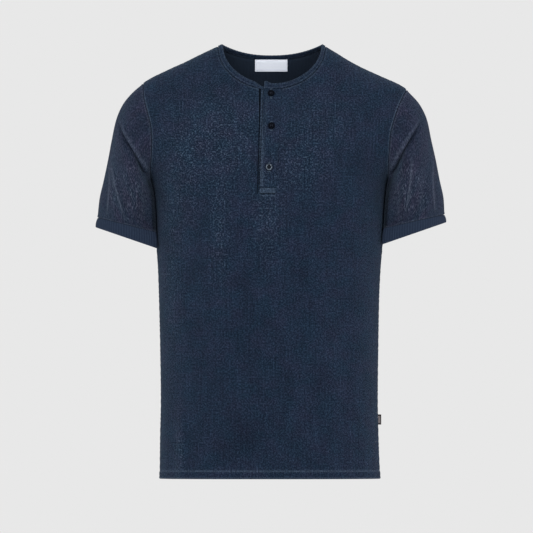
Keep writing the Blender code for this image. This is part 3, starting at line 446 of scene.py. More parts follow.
def rubbed_and_lit_edges(distance, above_hem):
    """How much paler the pile is drawn: along seams, where the welts beside them take a painted highlight,
    and along the hem's fold and its stitches.
    """
    seam = bell(distance - WELT_OFF, 0.0009)
    # the painted highlight strongest at the armholes, less down the sides and least round the neck
    seam = seam * (1 - 0.60 * ease((above_hem - 0.625) / 0.035))
    seam = seam * (0.40 + 0.60 * ease((above_hem - 0.470) / 0.030))
    fold, stitched = bell(above_hem, 0.0018), bell(above_hem - 0.0135, 0.0014)
    return np.clip(seam + 0.6 * fold + 0.65 * stitched, 0, 1)


def sewn_wall(name, finishes, outer, inner, flat, wrap=False, keep=None, marks_and_highlights=None, painted_light=None):
    """A closed wall between two grids of points; flat maps its cells to the flat cloth. Where it has
    two finishes, the second is that of its inner face."""
    rows, columns = outer.shape[:2]
    keep = np.ones((rows - 1, columns if wrap else columns - 1), bool) if keep is None else keep
    count = rows * columns
    number = np.arange(count).reshape(rows, columns)
    i, j = np.nonzero(keep)
    k = (j + 1) % columns
    ring = np.stack([number[i, j], number[i, k], number[i + 1, k], number[i + 1, j]], axis=1)
    ring_flat = np.stack([flat[i, j], flat[i, j + 1], flat[i + 1, j + 1], flat[i + 1, j]], axis=1)
    points = outer.reshape(-1, 3)
    facing = np.cross(points[ring[:, 2]] - points[ring[:, 0]], points[ring[:, 3]] - points[ring[:, 1]])
    if (facing * (outer - inner).reshape(-1, 3)[ring[:, 0]]).sum() < 0:
        ring, ring_flat = ring[:, ::-1], ring_flat[:, ::-1]
    # an edge that no face runs the other way is open: the rim closes it
    starts, ends = ring.ravel(), np.roll(ring, -1, axis=1).ravel()
    pairs = list(zip(starts.tolist(), ends.tolist()))
    known = set(pairs)
    lone = [at for at, pair in enumerate(pairs) if pair[::-1] not in known]
    rim = np.stack([ends[lone], starts[lone], starts[lone] + count, ends[lone] + count], axis=1)
    here, there = ring_flat.reshape(-1, 2)[lone], np.roll(ring_flat, -1, axis=1).reshape(-1, 2)[lone]
    faces = np.concatenate([ring, ring[:, ::-1] + count, rim])
    face_flat = np.concatenate([ring_flat, ring_flat[:, ::-1], np.stack([there, here, here, there], axis=1)])
    used, faces = np.unique(faces, return_inverse=True)
    faces = faces.reshape(-1, 4)
    mesh = bpy.data.meshes.new(name)
    mesh.from_pydata(np.concatenate([points, inner.reshape(-1, 3)])[used].tolist(), [], faces.tolist())
    mesh.uv_layers.new(name="flat").data.foreach_set("uv", face_flat.reshape(-1))
    mesh.shade_smooth()
    mesh.set_sharp_from_angle(angle=math.radians(70))
    for title, values in (("marks_and_highlights", marks_and_highlights), ("painted_light", painted_light)):
        values = np.zeros((rows, columns)) if values is None else values
        layer = mesh.attributes.new(title, "FLOAT", "POINT")
        layer.data.foreach_set("value", np.tile(values.ravel(), 2)[used].astype(np.float32))
    inside = np.zeros(len(faces), np.int32)
    inside[len(ring):2 * len(ring)] = 1
    mesh.polygons.foreach_set("material_index", inside)
    return placed(name, mesh, *finishes)


def placed(name, mesh, *finishes):
    """The object of a mesh, a lamp or a camera, in the scene; a mesh gets its finishes."""
    made = bpy.data.objects.new(name, mesh)
    bpy.context.scene.collection.objects.link(made)
    for finish in finishes:
        mesh.materials.append(finish)
    return made


def new_finish(name, base, roughness, sheen=0.0, sheen_tint=(1, 1, 1), sheen_roughness=0.5, specular=0.3):
    """A material whose even values stand on its shader; returns it, its nodes and its shader."""
    made = bpy.data.materials.new(name)
    made.use_nodes = True
    shader = made.node_tree.nodes["Principled BSDF"]
    for socket, value in (("Base Color", (*base, 1)), ("Roughness", roughness),
                          ("Specular IOR Level", specular), ("Sheen Weight", sheen),
                          ("Sheen Tint", (*sheen_tint, 1)), ("Sheen Roughness", sheen_roughness)):
        shader.inputs[socket].default_value = value
    return made, made.node_tree, shader


def node(tree, kind, inputs=None, **settings):
    """A shader node with its settings, and inputs given by name or number, as values or sockets."""
    made = tree.nodes.new("ShaderNode" + kind)
    for setting, value in settings.items():
        setattr(made, setting, value)
    for key, value in (inputs or {}).items():
        if isinstance(value, bpy.types.NodeSocket):
            tree.links.new(value, made.inputs[key])
        else:
            made.inputs[key].default_value = value
    return made


def ramp(tree, factor, *stops):
    """A colour ramp over a factor; each stop is a place and a grey or a colour."""
    made = node(tree, "ValToRGB", {"Fac": factor})
    bar = made.color_ramp.elements
    while len(bar) < len(stops):
        bar.new(0.5)
    for element, (place, shade) in zip(bar, stops):
        element.position = place
        element.color = (*shade, 1) if isinstance(shade, tuple) else (shade, shade, shade, 1)
    return made.outputs["Color"]


def mixed(tree, factor, first, second, blend="MIX"):
    """Two colours mixed, each a socket or red, green and blue."""
    first, second = ((*side, 1) if isinstance(side, tuple) else side for side in (first, second))
    return node(tree, "Mix", {0: factor, 6: first, 7: second}, data_type="RGBA", blend_type=blend).outputs[2]


def product(tree, first, second):
    return node(tree, "Math", {0: first, 1: second}, operation="MULTIPLY").outputs[0]


def painted_on(tree, name):
    """A value that stands on the piece's own points."""
    return node(tree, "Attribute", attribute_name=name).outputs["Fac"]


def scaled_map(tree, *scale):
    """The flat cloth's own coordinates, in metres, times a scale across and down."""
    place = node(tree, "UVMap", uv_map="flat")
    return node(tree, "Mapping", {"Vector": place.outputs["UV"], "Scale": (*scale, 1)}).outputs[0]


def noise(tree, across, down, detail, roughness=0.5):
    """Noise over the flat cloth, so many spots to a metre across it and down it."""
    return node(tree, "TexNoise", {"Vector": scaled_map(tree, across, down), "Scale": 1.0,
                                   "Detail": detail, "Roughness": roughness}).outputs


def bands(tree, way, scale, distortion, detail=2.0, detail_scale=1.0, over=None):
    """Wavy bands across the flat cloth's X or Y, or over other coordinates."""
    return node(tree, "TexWave", {"Vector": over or scaled_map(tree, 1, 1), "Scale": scale,
                                  "Distortion": distortion, "Detail": detail, "Detail Scale": detail_scale},
                wave_type="BANDS", bands_direction=way).outputs["Color"]


def own_place(tree):
    return node(tree, "TexCoord").outputs["Object"]


def surfaced(tree, shader, colour, height, strength, distance):
    """A shader given its colour, where it has one, and a bump."""
    if colour is not None:
        tree.links.new(colour, shader.inputs["Base Color"])
    bump = node(tree, "Bump", {"Height": height, "Strength": strength, "Distance": distance})
    tree.links.new(bump.outputs[0], shader.inputs["Normal"])


PAINTED_SHADE_BELOW = 0.09           # painted light under which the pile is drawn darker, as painted shade


def towelling(name, deep, mid, tip, sheen):
    """Short loops packed in wales: dark between the loops, with painted glints at some of their tips where
    the pile is drawn as catching the light, and painted shade where it is drawn as shut away from it.
    """
    made, tree, shader = new_finish(name, mid, 0.95, sheen, (0.50, 0.72, 1.0), 0.35, 0.05)
    wander = noise(tree, 160, 160, 2.0)["Color"]
    shifted = mixed(tree, 0.10, scaled_map(tree, 560, 470), wander, "ADD")
    loops = node(tree, "TexVoronoi", {"Vector": shifted, "Scale": 1.0, "Randomness": 0.9},
                 voronoi_dimensions="2D", feature="F1")
    crumbs = noise(tree, 370, 340, 4.0, 0.65)["Fac"]
    clumps = noise(tree, 150, 125, 3.0, 0.6)["Fac"]
    wales = noise(tree, 330, 16, 2.0)["Fac"]
    mottle = noise(tree, 30, 22, 4.0, 0.6)["Fac"]
    dye = noise(tree, 26, 30, 3.0, 0.6)["Fac"]
    height = mixed(tree, 0.70, ramp(tree, loops.outputs["Distance"], (0.05, 1.0), (0.62, 0.0)),
                   ramp(tree, crumbs, (0.40, 0.0), (0.60, 1.0)))
    colour = mixed(tree, ramp(tree, height, (0.18, 0.0), (0.80, 1.0)), deep, mid)
    # painted light: glints where it is high, painted shade under its floor
    painted_light = painted_on(tree, "painted_light")
    clumped = product(tree, ramp(tree, clumps, (0.40, 0.15), (0.62, 1.0)), painted_light)
    glint = product(tree, ramp(tree, crumbs, (0.50, 0.0), (0.62, 1.0)), clumped)
    colour = mixed(tree, glint, colour, tip)
    # the cloth's own tone from wales, mottle and dye, and last the painted shade
    for shade in (ramp(tree, wales, (0.3, 0.84), (0.7, 1.16)), ramp(tree, mottle, (0.3, 0.84), (0.72, 1.16)),
                  ramp(tree, dye, (0.38, (0.92, 1.03, 1.02)), (0.64, (1.20, 0.99, 1.03))),
                  ramp(tree, painted_light, (0.0, 0.22), (PAINTED_SHADE_BELOW, 1.0))):
        colour = mixed(tree, 1.0, colour, shade, "MULTIPLY")
    # pale marks of wear, and painted highlights along seams, lips and ridges
    pale_share = product(tree, painted_on(tree, "marks_and_highlights"), ramp(tree, crumbs, (0.36, 0.15), (0.60, 1.0)))
    surfaced(tree, shader, mixed(tree, pale_share, colour, tip), height, 0.85, 0.0014)
    return made


def plain_knit(name, shade, sheen):
    """The back of the jersey: fine upright stitches."""
    made, tree, shader = new_finish(name, shade, 0.9, sheen, (0.6, 0.75, 1.0), 0.5, 0.15)
    height = mixed(tree, 0.35, bands(tree, "X", 130.0, 0.6, 1.0), bands(tree, "Y", 150.0, 1.0, 1.0))
    deep = tuple(0.62 * part for part in shade)
    surfaced(tree, shader, mixed(tree, height, deep, shade), height, 0.5, 0.0005)
    return made


terry = towelling("navy_towelling", (0.0078, 0.0143, 0.0295), (0.0190, 0.0342, 0.0635),
                  (0.064, 0.095, 0.145), 0.10)
# The sleeves' copy of the same towelling, redder and with brighter glints: painted light for the warm light
# that falls on the sleeves.
terry_sleeve_lit = towelling("navy_towelling_sleeve_painted_light", (0.0094, 0.0143, 0.0295), (0.0255, 0.0350, 0.0635),
                         (0.112, 0.138, 0.195), 0.12)
terry_inside = plain_knit("navy_jersey_back", (0.019, 0.031, 0.054), 0.05)

# Painted sheen where the pile is drawn as catching the light, as soft patches and bands, and painted shade
# where a strength is negative: place, reach and strength.
LightPatch = namedtuple("LightPatch", "x z reach_x reach_z strength")
LIGHT_PATCHES = {
    "front": in_metres(
        LightPatch,
        (-85, -150, 62, 70, 950), (-150, -215, 30, 90, 700), (45, -195, 45, 50, 700),
        (90, -120, 50, 60, 400), (-85, -305, 14, 85, 850), (-6, -285, 22, 60, 900),
        (-165, -380, 18, 140, 550), (-151, -670, 6, 55, 1000), (-55, -650, 50, 50, -32),
        (-38, -450, 22, 130, -22), (20, -560, 40, 90, -15)),
    "back": in_metres(
        LightPatch,
        (-80, -150, 60, 70, 800), (75, -160, 55, 70, 800), (-90, -400, 20, 150, 600),
        (85, -420, 22, 150, 600)),
    "sleeve_right": in_metres(LightPatch, (-224, -242, 24, 55, 1000), (-262, -240, 6, 50, 600)),
    "sleeve_left": in_metres(LightPatch, (222, -240, 24, 52, 900), (250, -255, 10, 50, 600)),
}
LIGHT_FLOOR = 0.10          # of the pile that lies away from every patch


# painted sheen over its floor, patch by patch, and painted shade where a patch is negative
def painted_light_over(cloth, points):
    total = np.full(points.shape[:-1], LIGHT_FLOOR)
    for patch in LIGHT_PATCHES[cloth]:
        across = bell(points[..., 0] - patch.x, patch.reach_x)
        total = total + patch.strength * across * bell(points[..., 2] - patch.z, patch.reach_z)
    return np.clip(total, 0, 1)


def shut_away(painted_light, dark):
    """The painted light where a crease, or a piece beside it, keeps the light off the pile by a share:
    painted shade.
    """
    dark = np.clip(dark, 0, 1)
    share = ease(dark / 0.25)
    return painted_light * (1 - share) + PAINTED_SHADE_BELOW * (1 - dark) * share


SHADE_LINE_X, SHADE_LINE_LEVEL, SHADE_LINE_SLANT = -0.0179, -0.095, 0.0324


def shade_line_x(z):
    """The line of shade along the placket's slit, which leans as the upper strip does."""
    return SHADE_LINE_X + SHADE_LINE_SLANT * (z - SHADE_LINE_LEVEL)


def rounded_rim(distance, thickness):
    """How far each face of a wall draws in next to a free or sewn edge."""
    return 0.32 * thickness * bell(distance, 0.0007)


hem_lines = {}            # the hem's outer points and wall directions, for its stitches
BOX_END = 0.0080          # of the placket's stitched box, on the wearer's left
TACK_LEVEL, TACK_RISE = -0.2474, 0.0005      # of the ridge where the box's end is stitched down below it
SIDE_X = 0.15             # beyond it a panel rounds over to its side
SHADED_FOOT = -0.345      # of the shade that a sleeve throws on the side seam
GAP_CELLS = 8             # between the slit's edges, below the placket


def bridged(right, left):
    """The front's cells between its two halves: points, directions and seam distances."""
    share = np.linspace(0, 1, GAP_CELLS + 2)[None, 1:-1]
    x, z = (right[:, :1, axis] + (left[:, :1, axis] - right[:, :1, axis]) * share for axis in (0, 2))
    points = on_form(x, z, FRONT)
    lean = form_normal(points, FRONT)
    rise = fold_rise("front", x, z) + hem_relief(z - HEM_LEVEL)
    return points + lean * rise[..., None], lean, np.ones(x.shape)


def make_panel(name, face):
    right, left = (half_panel(side, face) for side in (RIGHT, LEFT))
    cloth, keep = "front" if face == FRONT else "back", None
    if face == FRONT:
        parts = [[grid[:, ::-1] for grid in right], bridged(right[0], left[0]), left]
    else:
        parts = [[grid[:, :0:-1] for grid in right], left]
    outer, lean, near = (np.concatenate(grids, axis=1) for grids in zip(*parts))
    aside, level = outer[..., 0], outer[..., 2]
    tack = 0 * level
    if face == FRONT:
        first = right[0].shape[1] - 1
        keep = np.ones((outer.shape[0] - 1, outer.shape[1] - 1), bool)
        keep[level[:-1, first] > PLACKET_FOOT_LEVEL - 0.0005, first:first + GAP_CELLS + 1] = False
        below = ease((aside - PLACKET_FOOT_EDGE) / 0.0010) * ease((BOX_END - aside) / 0.0010)
        tack = bell(level - TACK_LEVEL, 0.0010) * below
        outer = outer + lean * (TACK_RISE * tack)[..., None]
        level = outer[..., 2]
    above_hem = level - HEM_LEVEL
    thickness = CLOTH + turned_up(above_hem)
    draw = rounded_rim(np.minimum(near, above_hem), thickness)
    inner = outer - lean * (thickness - draw)[..., None]
    # the seams' painted highlights and the hem's pale lines, and a painted highlight along the tack's ridge
    # below the box
    marks_and_highlights = rubbed_and_lit_edges(near, above_hem) + 0.85 * tack
    # painted shade where a sleeve hangs against the side seam
    under_arm = 0.5 * bell(near, 0.0030) * (np.abs(outer[..., 0]) > SIDE_X)
    under_arm = under_arm * ease((level - SHADED_FOOT) / 0.03) * ease((UNDERARM_LEVEL - level) / 0.02)
    painted_light = shut_away(painted_light_over(cloth, outer), under_arm)
    if face == FRONT:
        # painted shade beside the slit, under the upper strip's edge, and under the foot of the box
        right_of_slit = aside < PLACKET_SLIT_X + 0.0002
        beside = 0.95 * bell(aside - shade_line_x(level), 0.0014) * (level > PLACKET_FOOT_LEVEL)
        under_box = 0.75 * below * bell(level - PLACKET_FOOT_LEVEL + 0.0004, 0.0008)
        painted_light = shut_away(painted_light, beside * right_of_slit + under_box)
        # a painted highlight along the raised edge of the slit
        pale_share = bell(aside - PLACKET_SLIT_X + 0.0004, 0.0006) * right_of_slit
        marks_and_highlights = np.clip(marks_and_highlights + 0.45 * pale_share * ease((level + 0.145) / 0.03), 0, 1)
    hem_lines[cloth] = outer[:len(HEM_STEPS)], lean[:len(HEM_STEPS)]
    made = sewn_wall(name, (terry, terry_inside), outer - lean * draw[..., None], inner,
                     flat_map(outer, face), keep=keep, marks_and_highlights=marks_and_highlights * (1 - under_arm), painted_light=painted_light)
    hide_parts(cloth)
    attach(made, "root")
    return made


front_panel = make_panel("front_panel", FRONT)
back_panel = make_panel("back_panel", BACK)


# ==== Sleeves ================================================================================
# Two short set-in sleeves of the same towelling, each one piece closed under the arm. They hang
# close to the body, so the cloth of the cap folds over in a sharp tuck that runs to the underarm.

Ring = namedtuple("Ring", "share outer_x outer_z inner_x inner_z front back")
SLEEVE_RINGS = {
    RIGHT: in_metres(
        Ring,
        (0, 212.5, -61.5, 200.3, -221, 64, 68), (100, 230.7, -77.3, 199.2, -229, 67, 71),
        (200, 246.3, -96.7, 197.6, -237, 70, 73), (320, 257.1, -121.6, 196.3, -247, 71.5, 73.5),
        (460, 264.4, -154.8, 195.3, -259, 71, 73), (600, 270.6, -188, 194.6, -271, 68, 70),
        (740, 277.6, -221.2, 194.2, -283, 63.5, 65), (880, 285, -254.4, 193.9, -296, 57.5, 59),
        (1000, 288, -283.5, 193.6, -307, 52.5, 53.5)),
    LEFT: in_metres(
        Ring,
        (0, 224.9, -71.8, 194.8, -221, 64, 68), (150, 247.2, -96.7, 194, -233, 69, 72),
        (270, 259, -121.6, 193, -242.5, 71.5, 73.5), (430, 266.1, -154.8, 192.1, -255, 71, 73),
        (580, 273.6, -188, 191.3, -267, 68, 70), (730, 280, -221.2, 190.5, -279, 63.5, 65),
        (880, 286.8, -254.4, 189.4, -291.5, 57.5, 59), (1000, 288, -278.3, 188.4, -300.9, 52.5, 53.5)),
}
ARMHOLE_REACH = 0.60      # share of the sleeve over which the armhole's own bend dies out
SLEEVE_LENGTH, SLEEVE_CELLS, SLEEVE_HALF_ROUND = 0.190, 130, 140
TURN_AWAY = 0.74          # how far a sleeve's normal leans over before its front folds begin
# In each list first come the tucks from the outer edge to the underarm, sharp under their lips,
# and then the soft ridges and troughs down to the cuff.
FOLDS["sleeve_right_front"] = in_metres(
    Fold,
    (-268, -100, -183, -242, 7.2, -8.4, -2.1, -1.6, 1.4, 3.4),
    (-268.5, -170, -273.5, -290, 3, 1.6, 2), (-269, -172, -238.5, -296, 4, 1.5, -3),
    (-270, -190, -279, -290, 6, -2.4, 2), (-228, -215, -233, -290, 15, 2.4, 3),
    (-212, -225, -209, -295, 5, -1.4, 2), (-245, -115, -212, -185, 12, 2.2, -3),
    (-233, -105, -216, -145, 6, 1, 2))
FOLDS["sleeve_left_front"] = in_metres(
    Fold,
    (263.2, -106, 177.8, -253, 7.2, -8.4, -6.5, 1.6, 1.4, 3.4),
    (269, -175, 274, -285, 3.6, 1.4, -2), (233, -175, 221, -285, 4, 1.6, 3),
    (260, -190, 252, -288, 6, -1.8, -2), (270, -195, 279, -285, 7, -2.2, -2),
    (208, -230, 206, -290, 5, -1.2, 2), (240, -112, 209, -185, 12, 2.2, 3))
FOLDS["sleeve_right_back"] = in_metres(
    Fold,
    (-256, -135, -191, -240, 11, -6, -6, -2.6, 1.2, 2.4), (-243, -108, -206, -178, 10, -2.8, -4),
    (-244, -205, -250, -295, 13, 2.4, 2), (-261, -205, -268, -290, 6, 1.3, 2),
    (-220, -215, -218, -290, 5.5, -1.4, 2))
FOLDS["sleeve_left_back"] = in_metres(
    Fold,
    (250, -124, 187, -242, 12, -5.6, 8, 2.8, 1.2, 2.2), (259, -168, 204, -256, 11, -3, 5),
    (242, -205, 247, -290, 13, 2.4, -2), (256, -195, 266, -260, 5, 1.2, -3),
    (216, -215, 215, -285, 5.5, -1.3, 2))


def there_and_back(front, back):
    """A closed loop: the front half from the outer edge in, then the back half home again."""
    return np.concatenate([front, back[-2:0:-1]])


def ring_points(side, ring, cells):
    outer = np.array([side * ring.outer_x, 0, ring.outer_z])
    inner = np.array([side * ring.inner_x, 0, ring.inner_z])
    centre, reach = (outer + inner) / 2, (outer - inner) / 2
    turn = np.linspace(0, math.pi, FINE)[:, None]
    halves = (centre + reach * np.cos(turn) + np.array([0, deep, 0]) * np.sin(turn)
              for deep in (-ring.front, ring.back))
    return there_and_back(*(spaced(half, np.linspace(0, 1, cells + 1)) for half in halves))


def armhole_loop(side):
    stops = np.linspace(0, 1, SLEEVE_HALF_ROUND + 1)
    return there_and_back(*(spaced(armhole_edge(side, face)[::-1], stops) for face in (FRONT, BACK)))


def grid_normals(points, side):
    """Outward unit normals of a grid that wraps round along its columns."""
    around = np.roll(points, -1, axis=1) - np.roll(points, 1, axis=1)
    return unit(np.cross(np.gradient(points, axis=0), around)) * -side


def sleeve_form(side, stops):
    rings = SLEEVE_RINGS[side]
    shares = column(rings, "share")
    curves = [smooth_through(shares, column(rings, name)) for name in Ring._fields[1:]]
    grid = np.array([ring_points(side, Ring(s, *[curve(s) for curve in curves]), SLEEVE_HALF_ROUND)
                     for s in stops])
    bend = armhole_loop(side) + np.array([side * SEAM_GAP, 0, 0]) - grid[0]
    fading = np.clip(1 - stops / ARMHOLE_REACH, 0, 1) ** 2
    return grid + bend * fading[:, None, None]


def fold_lean(cloth, x, z):
    """How far the lips of sharp creases hang over them, across the creases."""
    total = np.zeros(np.shape(x) + (3,))
    for fold in FOLDS[cloth]:
        if fold.over:
            across, taper = fold_places(fold, x, z)
            steep, lip_side = abs(fold.steep), math.copysign(1, fold.steep)
            amount = fold.over * taper * bell(across * lip_side - 1.6 * steep, 1.7 * steep)
            run = np.array([fold.foot_z - fold.head_z, 0, fold.head_x - fold.foot_x])
            total = total - lip_side * amount[..., None] * run / np.linalg.norm(run)
    return total


NARROW_RIDGE = 0.0040     # half width of the widest ridge that takes a painted highlight along its crest


def fold_marks(cloth, x, z):
    """Painted highlights on the lips and narrow ridges where they catch the light, and painted shade in the
    creases under the lips.
    """
    pale, crease_shade = np.zeros(np.shape(x)), np.zeros(np.shape(x))
    for fold in FOLDS[cloth]:
        across, taper = fold_places(fold, x, z)
        if fold.over:
            steep, across = abs(fold.steep), across * math.copysign(1, fold.steep)
            pale = pale + 0.40 * taper * bell(across - 2.6 * steep, 0.9 * steep)
            crease_shade = crease_shade + taper * bell(across + 0.0004, 0.0019)
        elif fold.rise > 0 and fold.half_width <= NARROW_RIDGE:
            pale = pale + 0.65 * taper * bell(across, 0.0014)
    return pale, crease_shade


REST_PROUD, REST_SUNK = 0.0016, 0.0007    # of the sleeve's inner side, on the body and at its widest
REST_DEPTH, REST_SPAN = 0.0300, 0.0105    # before and behind the middle, where the sleeve rests


def against_body(points, side, share):
    """The sleeve's inner side laid against the body, just in front of it and behind it."""
    x, y, z = np.moveaxis(points, -1, 0)
    outermost, innermost = points[..., :1, :], points[..., points.shape[-2] // 2, None, :]
    run = np.maximum(np.abs(outermost[..., 0]) - np.abs(innermost[..., 0]), 0.02)
    slant = np.clip((outermost[..., 2] - innermost[..., 2]) / run, 0, 0.4)
    face_depth = np.where(y < 0, DEPTH[FRONT](z), DEPTH[BACK](z))
    widest = HALF_WIDTH[side](z)
    body = widest * (1 - np.clip(np.abs(y) / face_depth, 0, 1) ** SQUARENESS) ** (1 / SQUARENESS)
    reach = np.abs(x)
    inwards = (np.abs(outermost[..., 0]) - reach) / run
    weight = share * bell(np.abs(y) - REST_DEPTH, REST_SPAN) * ease((inwards - 0.55) / 0.25)
    moved = weight * np.minimum(np.maximum(body + REST_PROUD, widest - REST_SUNK) - reach, 0)
    return np.stack([side * (reach + moved), y, z + slant * moved], axis=-1)


def wrapped_flat(points):
    """The flat cloth of a tube: round it from its outer edge, and down it."""
    around = np.linalg.norm(np.roll(points, -1, axis=1) - points, axis=-1)
    run = np.concatenate([np.zeros((len(points), 1)), np.cumsum(around, axis=1)], axis=1)
    steps = np.linalg.norm(np.diff(points, axis=0), axis=-1)
    down = np.concatenate([np.zeros((1, points.shape[1])), np.cumsum(steps, axis=0)])
    down = np.concatenate([down, down[:, :1]], axis=1)
    return np.stack([run * (run[:, -1].mean() / run[:, -1:]), -down], axis=-1)


MIDDLE = (0, 0, -0.35)    # of the shirt


def seam_allowance(side):
    """The sleeve's sewn edge, turned in under the body's panels: two rows, and their directions."""
    loop = armhole_loop(side)
    half = SLEEVE_HALF_ROUND + 1
    out = np.concatenate([form_normal(loop[:half], FRONT), form_normal(loop[half:], BACK)])
    inward = unit(np.cross(out, np.roll(loop, -1, axis=0) - np.roll(loop, 1, axis=0)))
    inward = inward * np.sign((inward * (MIDDLE - loop)).sum(axis=1, keepdims=True))
    rows = [loop + inward * reach - out * depth
            for reach, depth in ((0.0032, CLOTH + 0.0007), (0.0003, CLOTH + 0.0004))]
    return np.array(rows), np.array([out, out])


def make_sleeve(side):
    name = "sleeve_right" if side == RIGHT else "sleeve_left"
    stops = stops_with(SLEEVE_LENGTH, SLEEVE_LENGTH / SLEEVE_CELLS, near_start=True, near_end=True)
    grid = against_body(sleeve_form(side, stops), side, ease((stops[:, None] + 0.005) / 0.10))
    normals = grid_normals(grid, side)
    x, z = grid[..., 0], grid[..., 2]
    to_armhole, along = edge_distance(grid, [armhole_edge(side, FRONT), armhole_edge(side, BACK)])
    to_cuff, along_cuff = edge_distance(grid, [np.concatenate([grid[-1], grid[-1][:1]])])
    from_body = np.clip(np.abs(x) - HALF_WIDTH[side](z), 0, None)
    # painted shade where the sleeve lies against the body
    dark = 0.95 * bell(from_body - 0.0026, 0.0028) + 0.25 * bell(from_body, 0.0110)
    dark = dark * ease((UNDERARM_LEVEL + 0.01 - z) / 0.02)
    # painted highlights on the welts beside the armhole and cuff seams
    marks_and_highlights = np.clip(0.30 * bell(to_armhole - WELT_OFF, 0.0010) + 0.30 * bell(to_cuff - 0.001, 0.001), 0, 1)
    rise = 0.6 * seam_swell(to_armhole, along) + 0.6 * seam_swell(to_cuff, along_cuff)
    over = np.zeros_like(grid)
    for half, facing in (("_front", -normals[..., 1]), ("_back", normals[..., 1])):
        share = ease(facing / TURN_AWAY) * ease(to_armhole / 0.007) * ease(to_cuff / 0.006)
        rise = rise + share * fold_rise(name + half, x, z)
        over = over + share[..., None] * fold_lean(name + half, x, z)
        # painted highlights on lips and ridges, painted shade in the creases
        pale, crease_shade = fold_marks(name + half, x, z)
        marks_and_highlights = np.clip(marks_and_highlights + share * pale, 0, 1)
        dark = dark + share * crease_shade
    draw = rounded_rim(np.minimum(to_armhole, to_cuff), CLOTH)
    tucked, tucked_lean = seam_allowance(side)
    outer = np.concatenate([tucked, grid + normals * (rise - draw)[..., None] + over])
    lean, bare = np.concatenate([tucked_lean, normals]), np.zeros_like(draw[:2])
    inner = outer - lean * (CLOTH - 2 * np.concatenate([bare, draw]))[..., None]
    made = sewn_wall(name + "_cloth", (terry_sleeve_lit, terry_inside), outer, inner,
                     wrapped_flat(np.concatenate([tucked, grid])), wrap=True,
                     marks_and_highlights=np.concatenate([bare, marks_and_highlights]),
                     painted_light=np.concatenate([bare, shut_away(painted_light_over(name, grid), dark)]))
    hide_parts(name)
    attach(made, "root")


for side in (RIGHT, LEFT):
    make_sleeve(side)


# ==== Cuffs ==================================================================================
# A doubled band of fine rib at each sleeve's end, sewn on a little tighter than the sleeve. Its
# lower edge is the fold.

CUFF_ENDS = dict(zip((RIGHT, LEFT), in_metres(
    Ring, (1000, 290.5, -300, 191.2, -334.1, 50, 50.5), (1000, 290.2, -291.7, 188.4, -326.9, 50, 50.5))))
CUFF_HEIGHT, CUFF_INSET, CUFF_SWELL = 0.028, 0.0008, 0.0011
CUFF_RIBS, RIB_STEPS, RIB_HEIGHT = 144, 6, 0.0004
CUFF_STOPS = (0.0, 0.012, 0.03, 0.06, 0.12, 0.22, 0.34, 0.46, 0.58, 0.70, 0.82, 0.91, 0.96, 0.985, 1.0)


def knitted_rib(name, shade, pale, across, sheen):
    """Fine rib: its raised wales are modelled, its fine ones banded, and its stitches chevrons."""
    made, tree, shader = new_finish(name, shade, 0.9, sheen, (0.55, 0.75, 1.0), 0.4, 0.05)
    knit = mixed(tree, 0.35, bands(tree, "X", across, 0.3, 1.0), bands(tree, "Y", 190.0, 3.0, 2.0, 2.0))
    height = mixed(tree, 0.50, knit, noise(tree, 360, 360, 4.0)["Color"])
    ground = mixed(tree, ramp(tree, height, (0.25, 0.0), (0.8, 1.0)), shade, pale)
    pale_share = product(tree, painted_on(tree, "marks_and_highlights"), 0.6)
    palest = tuple(1.7 * part for part in pale)
    surfaced(tree, shader, mixed(tree, pale_share, ground, palest), height, 0.45, 0.0006)
    return made


cuff_rib = knitted_rib("navy_cuff_rib", (0.0120, 0.0190, 0.0375), (0.0275, 0.0420, 0.0725), 70.0, 0.1)


def make_cuff(side):
    name = "cuff_right" if side == RIGHT else "cuff_left"
    columns = CUFF_RIBS * RIB_STEPS
    around = np.linspace(0, 1, columns + 1)[:-1]

    def round_line(ring):
        line = ring_points(side, ring, 400)
        return against_body(spaced(np.concatenate([line, line[:1]]), around), side, 1.0)

    def outward(line):
        out = line - line.mean(axis=0)
        normal = np.cross(unit(line[0] - line[columns // 2]), (0, 1, 0))
        return unit(out - normal * (out @ normal)[:, None])

    top, foot = round_line(SLEEVE_RINGS[side][-1]), round_line(CUFF_ENDS[side])
    down = unit(foot.mean(axis=0) - top.mean(axis=0))
    top = top + down * SEAM_GAP
    stops = np.array(CUFF_STOPS)[:, None, None]
    lean = unit(outward(top) * (1 - stops) + outward(foot) * stops)
    line = top * (1 - stops) + foot * stops
    stops, turn = stops[..., 0], around * 2 * math.pi
    swell = -CUFF_INSET * (1 - stops) ** 2 + CUFF_SWELL * np.sin(math.pi * np.clip(stops, 0, 1)) ** 0.7
    wave = 0.5 + 0.5 * np.cos(turn * CUFF_RIBS)
    ribs = RIB_HEIGHT * (wave ** 0.7 - 0.5)[None, :] * ease(stops / 0.06) * ease((1 - stops) / 0.03)
    drift = 0.0005 * np.sin(turn * 5 + 1.3)[None, :] * stops
    outer = line + lean * (swell + ribs + drift)[..., None]
    draw = 0.45 * CLOTH * bell((1 - stops) * CUFF_HEIGHT, 0.0008) * np.ones((1, columns))
    inner = outer - lean * (CLOTH - draw + ribs)[..., None]
    # the sewn edge goes up inside the sleeve's end
    tucked = np.array([top - down * reach - lean[0] * (CLOTH + 0.0006) for reach in (0.0034, 0.0006)])
    outer = np.concatenate([tucked, outer - lean * draw[..., None]])
    inner = np.concatenate([tucked - lean[:1] * CLOTH, inner])
    uneven = 0.5 + 0.5 * np.sin(turn * 71 + 2 * np.sin(turn * 9))[None, :]
    marks_and_highlights = 0.9 * bell(1 - stops, 0.05) * uneven
    made = sewn_wall(name + "_band", [cuff_rib], outer, inner, wrapped_flat(np.concatenate([tucked, line])),
                     wrap=True, marks_and_highlights=np.concatenate([np.zeros((2, columns)), marks_and_highlights]))
    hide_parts(name)
    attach(made, "root")


